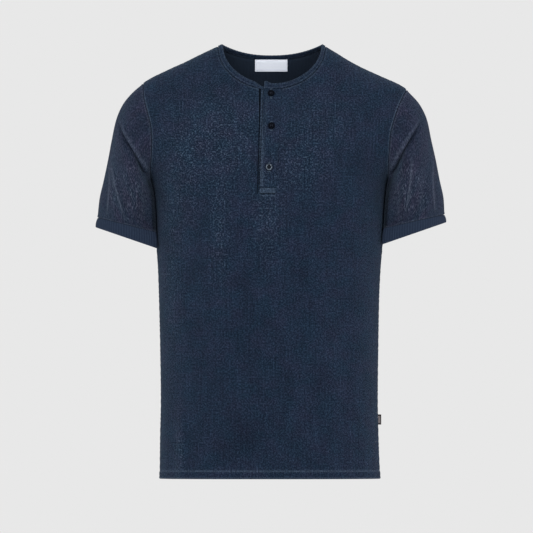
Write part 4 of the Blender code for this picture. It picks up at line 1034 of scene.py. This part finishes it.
for side in (RIGHT, LEFT):
    make_cuff(side)


# ==== Neckband ===============================================================================
# A narrow band of the jersey, folded over the cut neckline and held by a row of stitches near
# each of its edges. Its ends lie on the placket, the wearer's left one on top.

BAND_FRONT_DROP, BAND_BACK_DROP, BAND_RISE = 0.0627, 0.0137, 0.0035
BAND_OVER_END, BAND_UNDER_END = -0.0114, 0.0100
BAND_SINK, BAND_SINK_START, BAND_SINK_END = 0.0038, -0.0330, -0.0155
UNDER_DIP, OVER_STEP = 0.0030, 0.0050    # of the band's fold next to its two ends
BAND_CELLS = 110          # along each quarter of the neckline
BAND_HEIGHT = 0.0095      # of its flat cloth
# Across the band: share from its seam to its fold, and the rise of its outer and inner faces.
BandRow = namedtuple("BandRow", "share outer inner")
BAND_ROWS = in_metres(
    BandRow,
    (35, -0.6, -1.6), (45, 0.2, -2), (75, 0.9, -2.2), (120, 1.3, -2.4), (170, 1.4, -2.5), (220, 1.1, -2.5),
    (270, 0.8, -2.5), (340, 1, -2.5), (440, 1.3, -2.6), (550, 1.4, -2.6), (650, 1.2, -2.6), (720, 0.8, -2.6),
    (770, 1, -2.6), (840, 1.2, -2.5), (910, 0.9, -2.3), (970, 0.3, -1.9), (1000, -0.4, -1.2),
)
BAND_SEAM_STITCH, BAND_MIDDLE, BAND_FOLD_STITCH = 6, 8, 11     # rows: the outer two carry stitches


def band_edges():
    """Seam and fold of the band, from its under end round the back to its over end."""
    def front_run(side, end_x):
        turns = np.linspace(0, math.acos(side * end_x / HALF_WIDTH[side](0)), BAND_CELLS + 1)
        x = side * HALF_WIDTH[side](BAND_RISE) * np.cos(turns)
        z = BAND_RISE * np.cos(turns) - BAND_FRONT_DROP * np.sin(turns)
        if side == RIGHT:
            z = z - UNDER_DIP * ease((x + 0.0290) / 0.0160)
        else:
            z = z + OVER_STEP * bell(x + 0.0085, 0.0062) + 0.0014 * bell(x - 0.004, 0.012)
        return np.stack(front_neck(side, turns), axis=1), np.stack([x, z], axis=1)

    def back_run(side):
        turns = np.linspace(0, math.pi / 2, BAND_CELLS + 1)
        half = HALF_WIDTH[side](BAND_RISE)
        x = half * np.cos(turns)
        dip = (BAND_BACK_DROP + BAND_RISE) * (1 - (x / half) ** BACK_NECK_POWER)
        return np.stack(back_neck(side, turns), axis=1), np.stack([side * x, BAND_RISE - dip], axis=1)

    under = [line[::-1] for line in front_run(RIGHT, BAND_UNDER_END)]
    behind_left = [line[::-1] for line in back_run(LEFT)]
    runs = (under, back_run(RIGHT), behind_left, front_run(LEFT, BAND_OVER_END))
    # each run after the first starts where the one before it ends
    seam, fold = (np.concatenate([run[which][min(k, 1):] for k, run in enumerate(runs)]) for which in (0, 1))
    faces = np.repeat([FRONT, BACK, FRONT], [BAND_CELLS + 1, 2 * BAND_CELLS, BAND_CELLS])
    return seam, fold, faces[:, None]


def make_neckband():
    seam, fold, faces = band_edges()
    sunk = BAND_SINK * ease((seam[:, 0] - BAND_SINK_START) / (BAND_SINK_END - BAND_SINK_START))
    sunk = np.where(np.arange(len(seam)) <= BAND_CELLS, sunk, 0)      # only the under end sinks
    shares = np.array(column(BAND_ROWS, "share"))[:, None, None]
    x, z = np.moveaxis(seam + (fold - seam) * shares, -1, 0)
    front, back = on_form(x, z, FRONT), on_form(x, z, BACK)
    place = np.where(faces == FRONT, front, back)
    lean = np.where(faces == FRONT, form_normal(front, FRONT), form_normal(back, BACK))
    run = run_along(place[BAND_MIDDLE])
    from_end = np.minimum(run, run[-1] - run)
    closing = 0.0010 * bell(from_end, 0.0007)
    pucker = 0.00028 * np.sin(run * 1150 + 1.5 * np.sin(run * 210))
    outer_rise = np.array(column(BAND_ROWS, "outer"))[:, None] + pucker - sunk - closing
    inner_rise = np.array(column(BAND_ROWS, "inner"))[:, None] - sunk + closing
    outer, inner = place + lean * outer_rise[..., None], place + lean * inner_rise[..., None]
    share = shares[..., 0] * np.ones(len(seam))
    # pale lines along the band's fold and beside its seam, and at its ends: wear and painted highlight on the
    # rounded edges; its painted sheen as on the front
    uneven = 0.75 + 0.25 * np.sin(run * 640 + 2 * np.sin(run * 90))
    marks_and_highlights = uneven * (0.60 * bell(share - 0.16, 0.05) + 0.75 * bell(share - 0.90, 0.06))
    marks_and_highlights = np.clip(marks_and_highlights + 0.5 * bell(from_end, 0.001), 0, 1)
    flat = np.stack([run + 0 * share, share * BAND_HEIGHT], axis=-1)
    made = sewn_wall("neckband_fold", [terry], outer, inner, flat, marks_and_highlights=marks_and_highlights, painted_light=painted_light_over("front", outer))
    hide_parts("neckband")
    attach(made, "root")
    return outer, lean


band_outer, band_lean = make_neckband()


# ==== Placket ================================================================================
# Two strips of doubled jersey in the slit of the front. The upper one folds at its free edge, over
# the under one, and both end in a stitched box at the foot of the slit.

PLACKET_RISE, PLACKET_THICKNESS = 0.0005, 0.0024
UNDER_ENDS, UNDER_FOOT_LEVEL = (-0.0280, 0.0120), -0.2500
UPPER_WIDTH, UPPER_LENGTH = 0.0300, 0.173
BOX_HEIGHT, BOX_RISE = 0.0092, 0.0008
FOLD_STEPS = (0.0, 0.0004, 0.0009, 0.0015, 0.0022, 0.0030, 0.0038, 0.0044, 0.0050, 0.0056, 0.0064)
BOX_STEPS = (-0.0007, -0.0002, 0.0003, 0.0008, 0.0013, 0.0019)
FOOT_STEPS, HEAD_STEPS = (0.0004, 0.0009, 0.0016), (0.0004, 0.0010, 0.0018)


def strip_on_front(top_ends, foot_ends, foot_level, across, up):
    """Points of a strip on the front's form, from its foot up to the neckline."""
    top_x = top_ends[0] + (top_ends[1] - top_ends[0]) * across
    foot_x = foot_ends[0] + (foot_ends[1] - foot_ends[0]) * across
    top_z = -NECK_FRONT_DROP * np.sqrt(1 - (top_x / half_width(top_x, 0)) ** 2) - SEAM_GAP
    x = foot_x + (top_x - foot_x) * up[:, None]
    return on_form(x, foot_level + (top_z - foot_level) * up[:, None], FRONT)


def upper_ripple(z):
    """How far the upper strip rises and falls down its length."""
    return 0.00022 * np.sin(z * 260 + 1)


def make_placket_under():
    across, up = np.linspace(0, 1, 61), np.linspace(0, 1, 90)
    points = strip_on_front(UNDER_ENDS, UNDER_ENDS, UNDER_FOOT_LEVEL, across, up)
    out = form_normal(points, FRONT)
    x, z = points[..., 0], points[..., 2]
    lift = fold_rise("front", x, z) + 0.00025 * np.sin(z * 210)
    outer = points + out * (lift - CLOTH - 2 * SEAM_GAP)[..., None]
    slant = (PLACKET_TOP_EDGE - PLACKET_FOOT_EDGE) / (-NECK_FRONT_DROP - PLACKET_FOOT_LEVEL)
    free_edge = PLACKET_FOOT_EDGE + slant * (z - PLACKET_FOOT_LEVEL)
    # painted highlight where the strip shows between the slit's painted shade and the upper strip's edge,
    # painted shade where the upper strip covers it
    in_gap = ease((x - shade_line_x(z) - 0.0006) / 0.0009) * ease((free_edge - 0.0004 - x) / 0.0009)
    made = sewn_wall("placket_under_strip", (terry, terry_inside), outer, outer - out * CLOTH,
                     flat_map(points, FRONT), marks_and_highlights=0.62 * in_gap, painted_light=0.4 * in_gap)
    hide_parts("placket_under")
    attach(made, "root")


def make_placket_top():
    across = np.array(sorted({step / UPPER_WIDTH for step in FOLD_STEPS} | set(np.linspace(0.24, 1, 22))))
    rows = set(np.linspace(0, 1, 84)) | {1 - step / UPPER_LENGTH for step in HEAD_STEPS}
    rows |= {step / UPPER_LENGTH for step in (*FOOT_STEPS, *(BOX_HEIGHT + step for step in BOX_STEPS))}
    up = np.array(sorted(rows))
    points = strip_on_front((PLACKET_TOP_EDGE, PLACKET_TOP_SEAM - SEAM_GAP),
                            (PLACKET_FOOT_EDGE, PLACKET_FOOT_SEAM - SEAM_GAP),
                            PLACKET_FOOT_LEVEL + SEAM_GAP, across, up)
    out = form_normal(points, FRONT)
    x, z = points[..., 0], points[..., 2]
    from_fold, to_seam = across[None, :] * UPPER_WIDTH, (1 - across[None, :]) * UPPER_WIDTH
    from_foot = up[:, None] * UPPER_LENGTH
    roll = 0.0004 * bell(from_fold - 0.0016, 0.0012)
    groove = -0.0005 * bell(from_fold - 0.0044, 0.0005) * ease((from_foot - BOX_HEIGHT) / 0.002)
    over_box = ease((BOX_END - x) / 0.0008)
    box = ease((BOX_HEIGHT - from_foot) / 0.0007) * over_box
    rise = PLACKET_RISE * ease(to_seam / 0.006) + roll + groove + BOX_RISE * box + fold_rise("front", x, z)
    rise = rise + upper_ripple(z) * ease(to_seam / 0.01)
    thickness = PLACKET_THICKNESS + BOX_RISE * box
    draw = 0.42 * thickness * (bell(from_fold, 0.0006) + 0.5 * bell(from_foot, 0.0006))
    outer = points + out * rise[..., None]
    inner = outer - out * (thickness - draw)[..., None]
    into_box = np.minimum(np.minimum(from_foot, BOX_HEIGHT - from_foot), np.minimum(from_fold, BOX_END - x))
    # painted highlights along the fold's edge, beside its stitches and round the raised box
    marks_and_highlights = 0.55 * ease((-0.0125 - x) / 0.0012) * ease((from_foot - BOX_HEIGHT) / 0.004)
    marks_and_highlights = marks_and_highlights + 0.25 * bell(from_fold - 0.0064, 0.0008)
    marks_and_highlights = np.clip(marks_and_highlights + box * (0.42 + 0.50 * bell(into_box - 0.0020, 0.0013)), 0, 1)
    # painted shade just above the box
    shade = 0.8 * bell(from_foot - BOX_HEIGHT - 0.0007, 0.0007) * over_box
    made = sewn_wall("placket_top_strip", (terry, terry_inside), outer - out * draw[..., None], inner,
                     flat_map(points, FRONT), marks_and_highlights=marks_and_highlights, painted_light=shut_away(painted_light_over("front", points), shade))
    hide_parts("placket_top")
    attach(made, "root")
    return outer, out, across, up


make_placket_under()
upper_points, upper_out, upper_across, upper_up = make_placket_top()


# ==== Stitches ===============================================================================
# Navy thread: two rows round the hem, one near each edge of the neckband, one beside the
# placket's fold and two across its box, at its foot and its head; each stitch a short arch sunk at both ends.

thread_paint, thread_tree, thread_shader = new_finish("navy_thread", (0.052, 0.080, 0.122), 0.6, 0.1,
                                                      (0.7, 0.85, 1.0), 0.4, 0.15)
twist = bands(thread_tree, "DIAGONAL", 900.0, 1.0, over=own_place(thread_tree))
surfaced(thread_tree, thread_shader, None, twist, 0.4, 0.0002)

bpy.ops.object.select_all(action="DESELECT")
bpy.ops.mesh.primitive_cylinder_add(vertices=6, radius=1, depth=2, end_fill_type="TRIFAN",
                                    rotation=(0, math.radians(90), 0))
pattern = bpy.context.object
bpy.ops.object.transform_apply(location=False, rotation=True, scale=False)
bpy.ops.object.mode_set(mode="EDIT")
bpy.ops.mesh.select_all(action="SELECT")
for cut in (-0.5, 0.0, 0.5):
    bpy.ops.mesh.bisect(plane_co=(cut, 0, 0), plane_no=(1, 0, 0))
    bpy.ops.mesh.select_all(action="SELECT")
bpy.ops.mesh.normals_make_consistent(inside=False)
bpy.ops.object.mode_set(mode="OBJECT")
pattern_points = np.array([tuple(corner.co) for corner in pattern.data.vertices])
pattern_faces = [tuple(face.vertices) for face in pattern.data.polygons]
bpy.data.objects.remove(pattern)


def sewn_row(name, line, out, pitch, length, thick, crosswise=False):
    """One thread: arched stitches set at a pitch along a line, or across it."""
    run = run_along(line)
    count = max(int(run[-1] / pitch), 1)
    places = (np.arange(count) + 0.5) * run[-1] / count
    step = 0.3 * min(pitch, length)
    here, there = at_places(line, run, places - step), at_places(line, run, places + step)
    up = unit(at_places(out, run, places))
    middle, along = (here + there) / 2, unit(there - here)
    aside = unit(np.cross(up, along))
    if crosswise:
        along, aside = aside, -along
    reach, width, height = pattern_points.T
    taper = 1 - 0.45 * np.abs(reach) ** 3
    arch = (1 - reach ** 2) * 0.8 * thick - 0.35 * thick
    points = (middle[:, None] + along[:, None] * (reach * length / 2)[None, :, None]
              + aside[:, None] * (width * taper * thick / 2)[None, :, None]
              + up[:, None] * (height * taper * thick / 2 + arch)[None, :, None])
    faces = [tuple(corner + k * len(pattern_points) for corner in face)
             for k in range(count) for face in pattern_faces]
    mesh = bpy.data.meshes.new(name)
    mesh.from_pydata(points.reshape(-1, 3).tolist(), [], faces)
    mesh.shade_smooth()
    made = placed(name, mesh, thread_paint)
    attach(made, "root")


def upper_strip_line(shares, levels):
    """A line on the upper placket strip, by shares across it and up it."""
    found = []
    for grid in (upper_points, upper_out):
        rows = np.array([at_places(row, upper_across, shares) for row in grid])
        found.append(np.array([at_places(rows[:, k], upper_up, level) for k, level in enumerate(levels)]))
    return found


# Each kind's pitch, length and thickness.
HEM_STITCH, BAND_STITCH, BOX_STITCH = ((0.0034, 0.0027, 0.00055), (0.0030, 0.0023, 0.0005),
                                       (0.0022, 0.0019, 0.0005))
# Rows on the upper strip, in shares across it from its fold and up it.
FOLD_ROW_ACROSS, FOLD_ROW_UP, BOX_ROW_ACROSS, BOX_ROWS_UP = 0.147, (0.07, 0.985), (0.05, 0.86), (0.006, 0.048)
for title, row in (("upper", HEM_EDGE_ROW), ("lower", HEM_FOLD_ROW)):
    for panel, (points, lean) in hem_lines.items():
        sewn_row(f"hem_stitches_{title}_{panel}", points[row], lean[row], *HEM_STITCH)
for title, row in (("seam", BAND_SEAM_STITCH), ("fold", BAND_FOLD_STITCH)):
    sewn_row(f"neckband_{title}_stitches", band_outer[row], band_lean[row], *BAND_STITCH)
beside_fold = upper_strip_line(np.full(60, FOLD_ROW_ACROSS), np.linspace(*FOLD_ROW_UP, 60))
sewn_row("placket_fold_stitches", *beside_fold, *BAND_STITCH)
for title, level in zip(("foot", "head"), BOX_ROWS_UP):
    over_box = upper_strip_line(np.linspace(*BOX_ROW_ACROSS, 24), np.full(24, level))
    sewn_row(f"placket_box_{title}_stitches", *over_box, *BOX_STITCH)


# ==== Buttonholes ============================================================================
# An upright buttonhole under each button, closed round by close crosswise stitches of dark thread down both
# lips and across both ends; the slit itself is not cut.

Button = namedtuple("Button", "x level")
BUTTONS = in_metres(Button, (0.2, -78.5), (0.7, -132.6), (-3.2, -200.3))
HOLE_REACH, HOLE_LIP = 0.0076, 0.0010
LIP_STITCH, TACK_STITCH = (0.00062, 0.0016, 0.0005), (0.00055, 0.0015, 0.00055)


def on_upper_strip(x, z):
    """The upper strip's face at x and z, and its outward direction."""
    place = on_form(x, z, FRONT)
    out = form_normal(place, FRONT)
    rise = PLACKET_RISE + fold_rise("front", place[..., 0], place[..., 2]) + upper_ripple(place[..., 2])
    return place + out * rise[..., None], out


for number, button in enumerate(BUTTONS, start=1):
    down = np.linspace(button.level + HOLE_REACH, button.level - HOLE_REACH, 40)
    for title, aside in (("right", -HOLE_LIP), ("left", HOLE_LIP)):
        sewn_row(f"buttonhole_{number}_{title}_lip", *on_upper_strip(button.x + aside, down), *LIP_STITCH,
                 crosswise=True)
    over = np.linspace(-1.9 * HOLE_LIP, 1.9 * HOLE_LIP, 12)
    for title, end in (("head", HOLE_REACH), ("foot", -HOLE_REACH)):
        sewn_row(f"buttonhole_{number}_{title}_tack", *on_upper_strip(button.x + over, button.level + end),
                 *TACK_STITCH, crosswise=True)


# ==== Buttons ================================================================================
# Turned discs of dark resin with a rolled rim, a dished face and four holes, held by a cross of
# thread that goes down to the under strip. The lowest one's rim carries a painted glint, pale clouds where a
# reflection of the light would fall.

BUTTON_RADIUS, BUTTON_HALF = 0.0056, 0.0012
HOLE_RADIUS, HOLE_SPREAD = 0.00072, 0.00125
BUTTON_LIFT = 2 * PLACKET_RISE + SEAM_GAP + BUTTON_HALF
GLINT_RING = (0.0034, 0.0050)   # from the button's axis
STRAND_LEVEL, STRAND_THICK = 0.0004, 0.00034


def clouded_resin(name, deep, pale, specular):
    made, tree, shader = new_finish(name, deep, 0.38, specular=specular)
    clouds = node(tree, "TexNoise", {"Vector": own_place(tree), "Scale": 420.0, "Detail": 3.0}).outputs["Fac"]
    tree.links.new(ramp(tree, clouds, (0.35, deep), (0.65, pale)), shader.inputs["Base Color"])
    tree.links.new(ramp(tree, clouds, (0.3, 0.30), (0.8, 0.46)), shader.inputs["Roughness"])
    return made


resin = clouded_resin("navy_resin", (0.0006, 0.0010, 0.0024), (0.0022, 0.0038, 0.0080), 0.03)
# painted glint for the lowest button's rim: pale clouds standing for the light's reflection
glinting_resin = clouded_resin("navy_resin_painted_glint", (0.0120, 0.0170, 0.0280), (0.190, 0.235, 0.290), 0.06)
dark_thread, _, _ = new_finish("dark_button_thread", (0.030, 0.036, 0.052), 0.8, 0.05, specular=0.05)


def inset_where(made, test, *steps):
    """In edit mode: the faces that pass a test are inset by each step's width and depth."""
    bpy.ops.mesh.select_all(action="DESELECT")
    shape = bmesh.from_edit_mesh(made.data)
    for face in shape.faces:
        face.select_set(bool(test(face.normal)))
    bmesh.update_edit_mesh(made.data)
    for width, depth in steps:
        bpy.ops.mesh.inset(thickness=width, depth=depth)


def apply_all(made):
    bpy.context.view_layer.objects.active = made
    for modifier in list(made.modifiers):
        bpy.ops.object.modifier_apply(modifier=modifier.name)


def turned_disc():
    """The button as it leaves the lathe and the drill, flat on the origin, its face up."""
    bpy.ops.object.select_all(action="DESELECT")
    bpy.ops.mesh.primitive_cylinder_add(vertices=48, radius=BUTTON_RADIUS, depth=2 * BUTTON_HALF)
    disc = bpy.context.object
    bpy.ops.object.mode_set(mode="EDIT")
    bpy.context.tool_settings.mesh_select_mode = (False, False, True)
    inset_where(disc, lambda normal: normal.z > 0.9, (0.0013, 0), (0.0005, -0.0006), (0.0012, -0.00008))
    inset_where(disc, lambda normal: normal.z < -0.9, (0.0010, 0), (0.0008, 0.0001))
    bpy.ops.mesh.select_all(action="SELECT")
    bpy.ops.mesh.normals_make_consistent(inside=False)
    bpy.ops.object.mode_set(mode="OBJECT")
    rounded = disc.modifiers.new("rounded", "BEVEL")
    rounded.width, rounded.segments, rounded.limit_method = 0.00042, 4, "ANGLE"
    rounded.angle_limit = math.radians(22)
    apply_all(disc)
    for across, up in ((-1, -1), (-1, 1), (1, -1), (1, 1)):
        bpy.ops.object.select_all(action="DESELECT")
        bpy.ops.mesh.primitive_cylinder_add(vertices=20, radius=HOLE_RADIUS, depth=0.01,
                                            location=(across * HOLE_SPREAD, up * HOLE_SPREAD, 0))
        drill = bpy.context.object
        drilled = disc.modifiers.new("drilled", "BOOLEAN")
        drilled.operation, drilled.object, drilled.solver = "DIFFERENCE", drill, "EXACT"
        apply_all(disc)
        bpy.data.objects.remove(drill)
    bpy.ops.object.select_all(action="DESELECT")
    disc.select_set(True)
    bpy.context.view_layer.objects.active = disc
    bpy.ops.object.shade_smooth_by_angle(angle=math.radians(32))
    disc.data.materials.append(resin)
    return disc


def thread_cross():
    """Two strands over the button's face and four legs down through its holes."""
    strands = []
    for across in (-1, 1):
        bpy.ops.object.select_all(action="DESELECT")
        bpy.ops.mesh.primitive_torus_add(
            major_radius=HOLE_SPREAD, minor_radius=STRAND_THICK, major_segments=28, minor_segments=8,
            location=(across * HOLE_SPREAD, 0, STRAND_LEVEL), rotation=(0, math.radians(90), 0))
        strand = bpy.context.object
        bpy.ops.object.transform_apply()
        for point in strand.data.vertices:
            over = point.co.z - STRAND_LEVEL
            point.co.z = STRAND_LEVEL + over * (1.9 if over < 0 else 0.55)
        strands.append(strand)
    for strand in strands:
        strand.select_set(True)
    bpy.context.view_layer.objects.active = strands[0]
    bpy.ops.object.join()
    bpy.ops.object.shade_smooth()
    strands[0].data.materials.append(dark_thread)
    return strands[0]


disc_pattern, cross_pattern = turned_disc(), thread_cross()
for number, button in enumerate(BUTTONS, start=1):
    seat = on_form(button.x, button.level, FRONT)
    out = Vector(form_normal(seat, FRONT))
    turn = out.to_track_quat("Z", "Y").to_matrix().to_4x4()
    turn.translation = Vector(seat) + out * (BUTTON_LIFT + float(fold_rise("front", button.x, button.level)))
    for pattern, title in ((disc_pattern, "disc"), (cross_pattern, "thread")):
        mesh = pattern.data.copy()
        mesh.transform(turn)
        made = placed(f"button_{number}_{title}", mesh)
        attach(made, "root")
        if pattern is disc_pattern:
            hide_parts(f"button_{number}")
            # the lowest button's rim takes the painted glint
            if number == len(BUTTONS):
                mesh.materials.append(glinting_resin)
                for face in pattern.data.polygons:
                    on_rim = GLINT_RING[0] < face.center.xy.length < GLINT_RING[1]
                    mesh.polygons[face.index].material_index = int(on_rim and face.normal.z > 0.3)
bpy.data.objects.remove(disc_pattern)
bpy.data.objects.remove(cross_pattern)


# ==== Neck label =============================================================================
# A pale woven satin label inside the back neck, left bare, sewn round its edge.

LABEL_LEFT, LABEL_RIGHT, LABEL_TOP, LABEL_FOOT = -0.0266, 0.0274, -0.0197, -0.0391
LABEL_THICKNESS, LABEL_SEWN_IN = 0.0006, 0.0012      # the second from its edge to its stitches

satin, satin_tree, satin_shader = new_finish("pale_label_satin", (0.94, 0.95, 0.99), 0.5, 0.3)
satin_shader.inputs["Emission Color"].default_value = (0.72, 0.82, 1.0, 1)    # painted light: a faint glow that lifts the label out of the shade inside the neck
satin_shader.inputs["Emission Strength"].default_value = 0.30
weave = mixed(satin_tree, 0.4, bands(satin_tree, "Y", 700.0, 0.4), bands(satin_tree, "X", 420.0, 0.8))
woven = mixed(satin_tree, weave, (0.88, 0.89, 0.95), (0.96, 0.965, 0.99))
bordered = mixed(satin_tree, painted_on(satin_tree, "marks_and_highlights"), woven, (0.62, 0.66, 0.78))
surfaced(satin_tree, satin_shader, bordered, weave, 0.35, 0.0002)


def make_neck_label():
    across, up = np.linspace(0, 1, 73)[None, :], np.linspace(0, 1, 31)[:, None]
    form = on_form(LABEL_LEFT + (LABEL_RIGHT - LABEL_LEFT) * across,
                   LABEL_TOP + (LABEL_FOOT - LABEL_TOP) * up, BACK)
    lean = form_normal(form, BACK)
    from_edge = np.minimum(np.minimum(across, 1 - across) * (LABEL_RIGHT - LABEL_LEFT),
                           np.minimum(up, 1 - up) * (LABEL_TOP - LABEL_FOOT))
    puff = 0.0004 * ease(from_edge / 0.003) + 0.0003 * np.sin(across * 9) * ease(from_edge / 0.004)
    sewn = bell(from_edge - LABEL_SEWN_IN, 0.0003)
    behind = form - lean * (CLOTH + 2 * SEAM_GAP + puff - 0.00025 * sewn)[..., None]
    made = sewn_wall("neck_label_satin", [satin], behind, behind - lean * LABEL_THICKNESS, form[..., ::2],
                     marks_and_highlights=0.55 * sewn)
    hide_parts("neck_label")
    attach(made, "root")


make_neck_label()


# ==== Side tag ===============================================================================
# A short loop of dark woven tape with a pale centre, left bare, caught in the left side seam.

TAG_TOP, TAG_FOOT, TAG_REACH, TAG_HALF = -0.6103, -0.6272, 0.0053, 0.0006
TAG_BORDER, TAG_PALE_REACH = 0.14, 0.0038      # round its pale centre: a share of its height, and out to here

tape, tape_tree, tape_shader = new_finish("dark_woven_tape", (0.020, 0.013, 0.012), 0.6, 0.2)
ribs_over = bands(tape_tree, "Y", 600.0, 0.5)
dark_weave = mixed(tape_tree, ribs_over, (0.012, 0.009, 0.010), (0.034, 0.024, 0.022))
pale_centred = mixed(tape_tree, painted_on(tape_tree, "marks_and_highlights"), dark_weave, (0.30, 0.27, 0.28))
surfaced(tape_tree, tape_shader, pale_centred, ribs_over, 0.4, 0.0002)


def make_side_tag():
    up, turn = np.linspace(0, 1, 35)[:, None], np.linspace(-math.pi / 2, math.pi / 2, 13)[1:-1]
    root = float(HALF_WIDTH[LEFT]((TAG_TOP + TAG_FOOT) / 2)) + 2 * SEAM_GAP
    out = np.linspace(root, root + TAG_REACH - TAG_HALF, 14)
    x = np.concatenate([out, out[-1] + TAG_HALF * np.cos(turn), out[::-1]])
    y = np.concatenate([0 * out - TAG_HALF, TAG_HALF * np.sin(turn), 0 * out + TAG_HALF])
    x_in = np.concatenate([out, 0 * turn + out[-1] + 0.00015, out[::-1]])
    z = TAG_TOP + (TAG_FOOT - TAG_TOP) * up
    lift = 0.0003 * np.sin(up * 5)
    outer, inner = (np.stack(np.broadcast_arrays(aside, y * share + lift, z), axis=-1)
                    for aside, share in ((x, 1), (x_in, 0.25)))
    flat = np.stack(np.broadcast_arrays(run_along(np.stack([x, y], axis=1)), z), axis=-1)
    pale = ease((np.minimum(up, 1 - up) - TAG_BORDER) / 0.03) * ease((root + TAG_PALE_REACH - x) / 0.0004)
    made = sewn_wall("side_tag_tape", [tape], outer, inner, flat, marks_and_highlights=0.75 * pale)
    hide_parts("side_tag")
    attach(made, "root")


make_side_tag()


# ==== Studio =================================================================================
# A plain pale room: a floor far below, an even grey world, and big soft lights in front of the
# shirt and at its sides.

FLOOR_LEVEL, FLOOR_RADIUS = -1.4, 11

room = bpy.data.worlds.new("pale_room")
room.use_nodes = True
room.node_tree.nodes["Background"].inputs["Color"].default_value = (0.807, 0.807, 0.807, 1)
room.node_tree.nodes["Background"].inputs["Strength"].default_value = 1.0
bpy.context.scene.world = room
bpy.context.scene.view_settings.view_transform = "Standard"

bpy.ops.object.select_all(action="DESELECT")
bpy.ops.mesh.primitive_circle_add(vertices=64, radius=FLOOR_RADIUS, fill_type="NGON",
                                  location=(0, 0, FLOOR_LEVEL))
floor = bpy.context.object
floor.name = "studio_floor"
floor_paint, _, _ = new_finish("pale_floor", (0.80, 0.80, 0.80), 0.9)
floor.data.materials.append(floor_paint)


def softbox(name, place, power, size, tint=(1, 1, 1)):
    lamp = bpy.data.lights.new(name, "AREA")
    lamp.shape, lamp.size, lamp.size_y = "RECTANGLE", size[0], size[1]
    lamp.energy, lamp.color = power, tint
    made = placed(name, lamp)
    made.location = place
    aim = Vector(MIDDLE) - made.location
    made.rotation_euler = aim.to_track_quat("-Z", "Y").to_euler()


softbox("key", (-0.9, -2.9, 1.3), 34.0, (1.6, 1.8))
softbox("fill", (1.3, -2.8, 0.3), 16.0, (1.4, 1.8))
softbox("rim_right", (-2.8, 0.5, 0.0), 6.0, (0.8, 2.2))
softbox("rim_left", (2.8, 0.2, 0.0), 13.0, (0.8, 2.2), (1.0, 0.66, 0.74))

PICTURE_WIDTH, STAND_BACK = 0.8848, 40.0     # of the frame at the shirt, and to the camera
eye = bpy.data.cameras.new("camera")
eye.sensor_width = 36.0
eye.lens = 36.0 * STAND_BACK / PICTURE_WIDTH
eye.clip_end = 120
camera = placed("camera", eye)
camera.location = (-0.0075, -STAND_BACK, -0.3648)
camera.rotation_euler = (math.radians(90), 0, 0)
bpy.context.scene.camera = camera
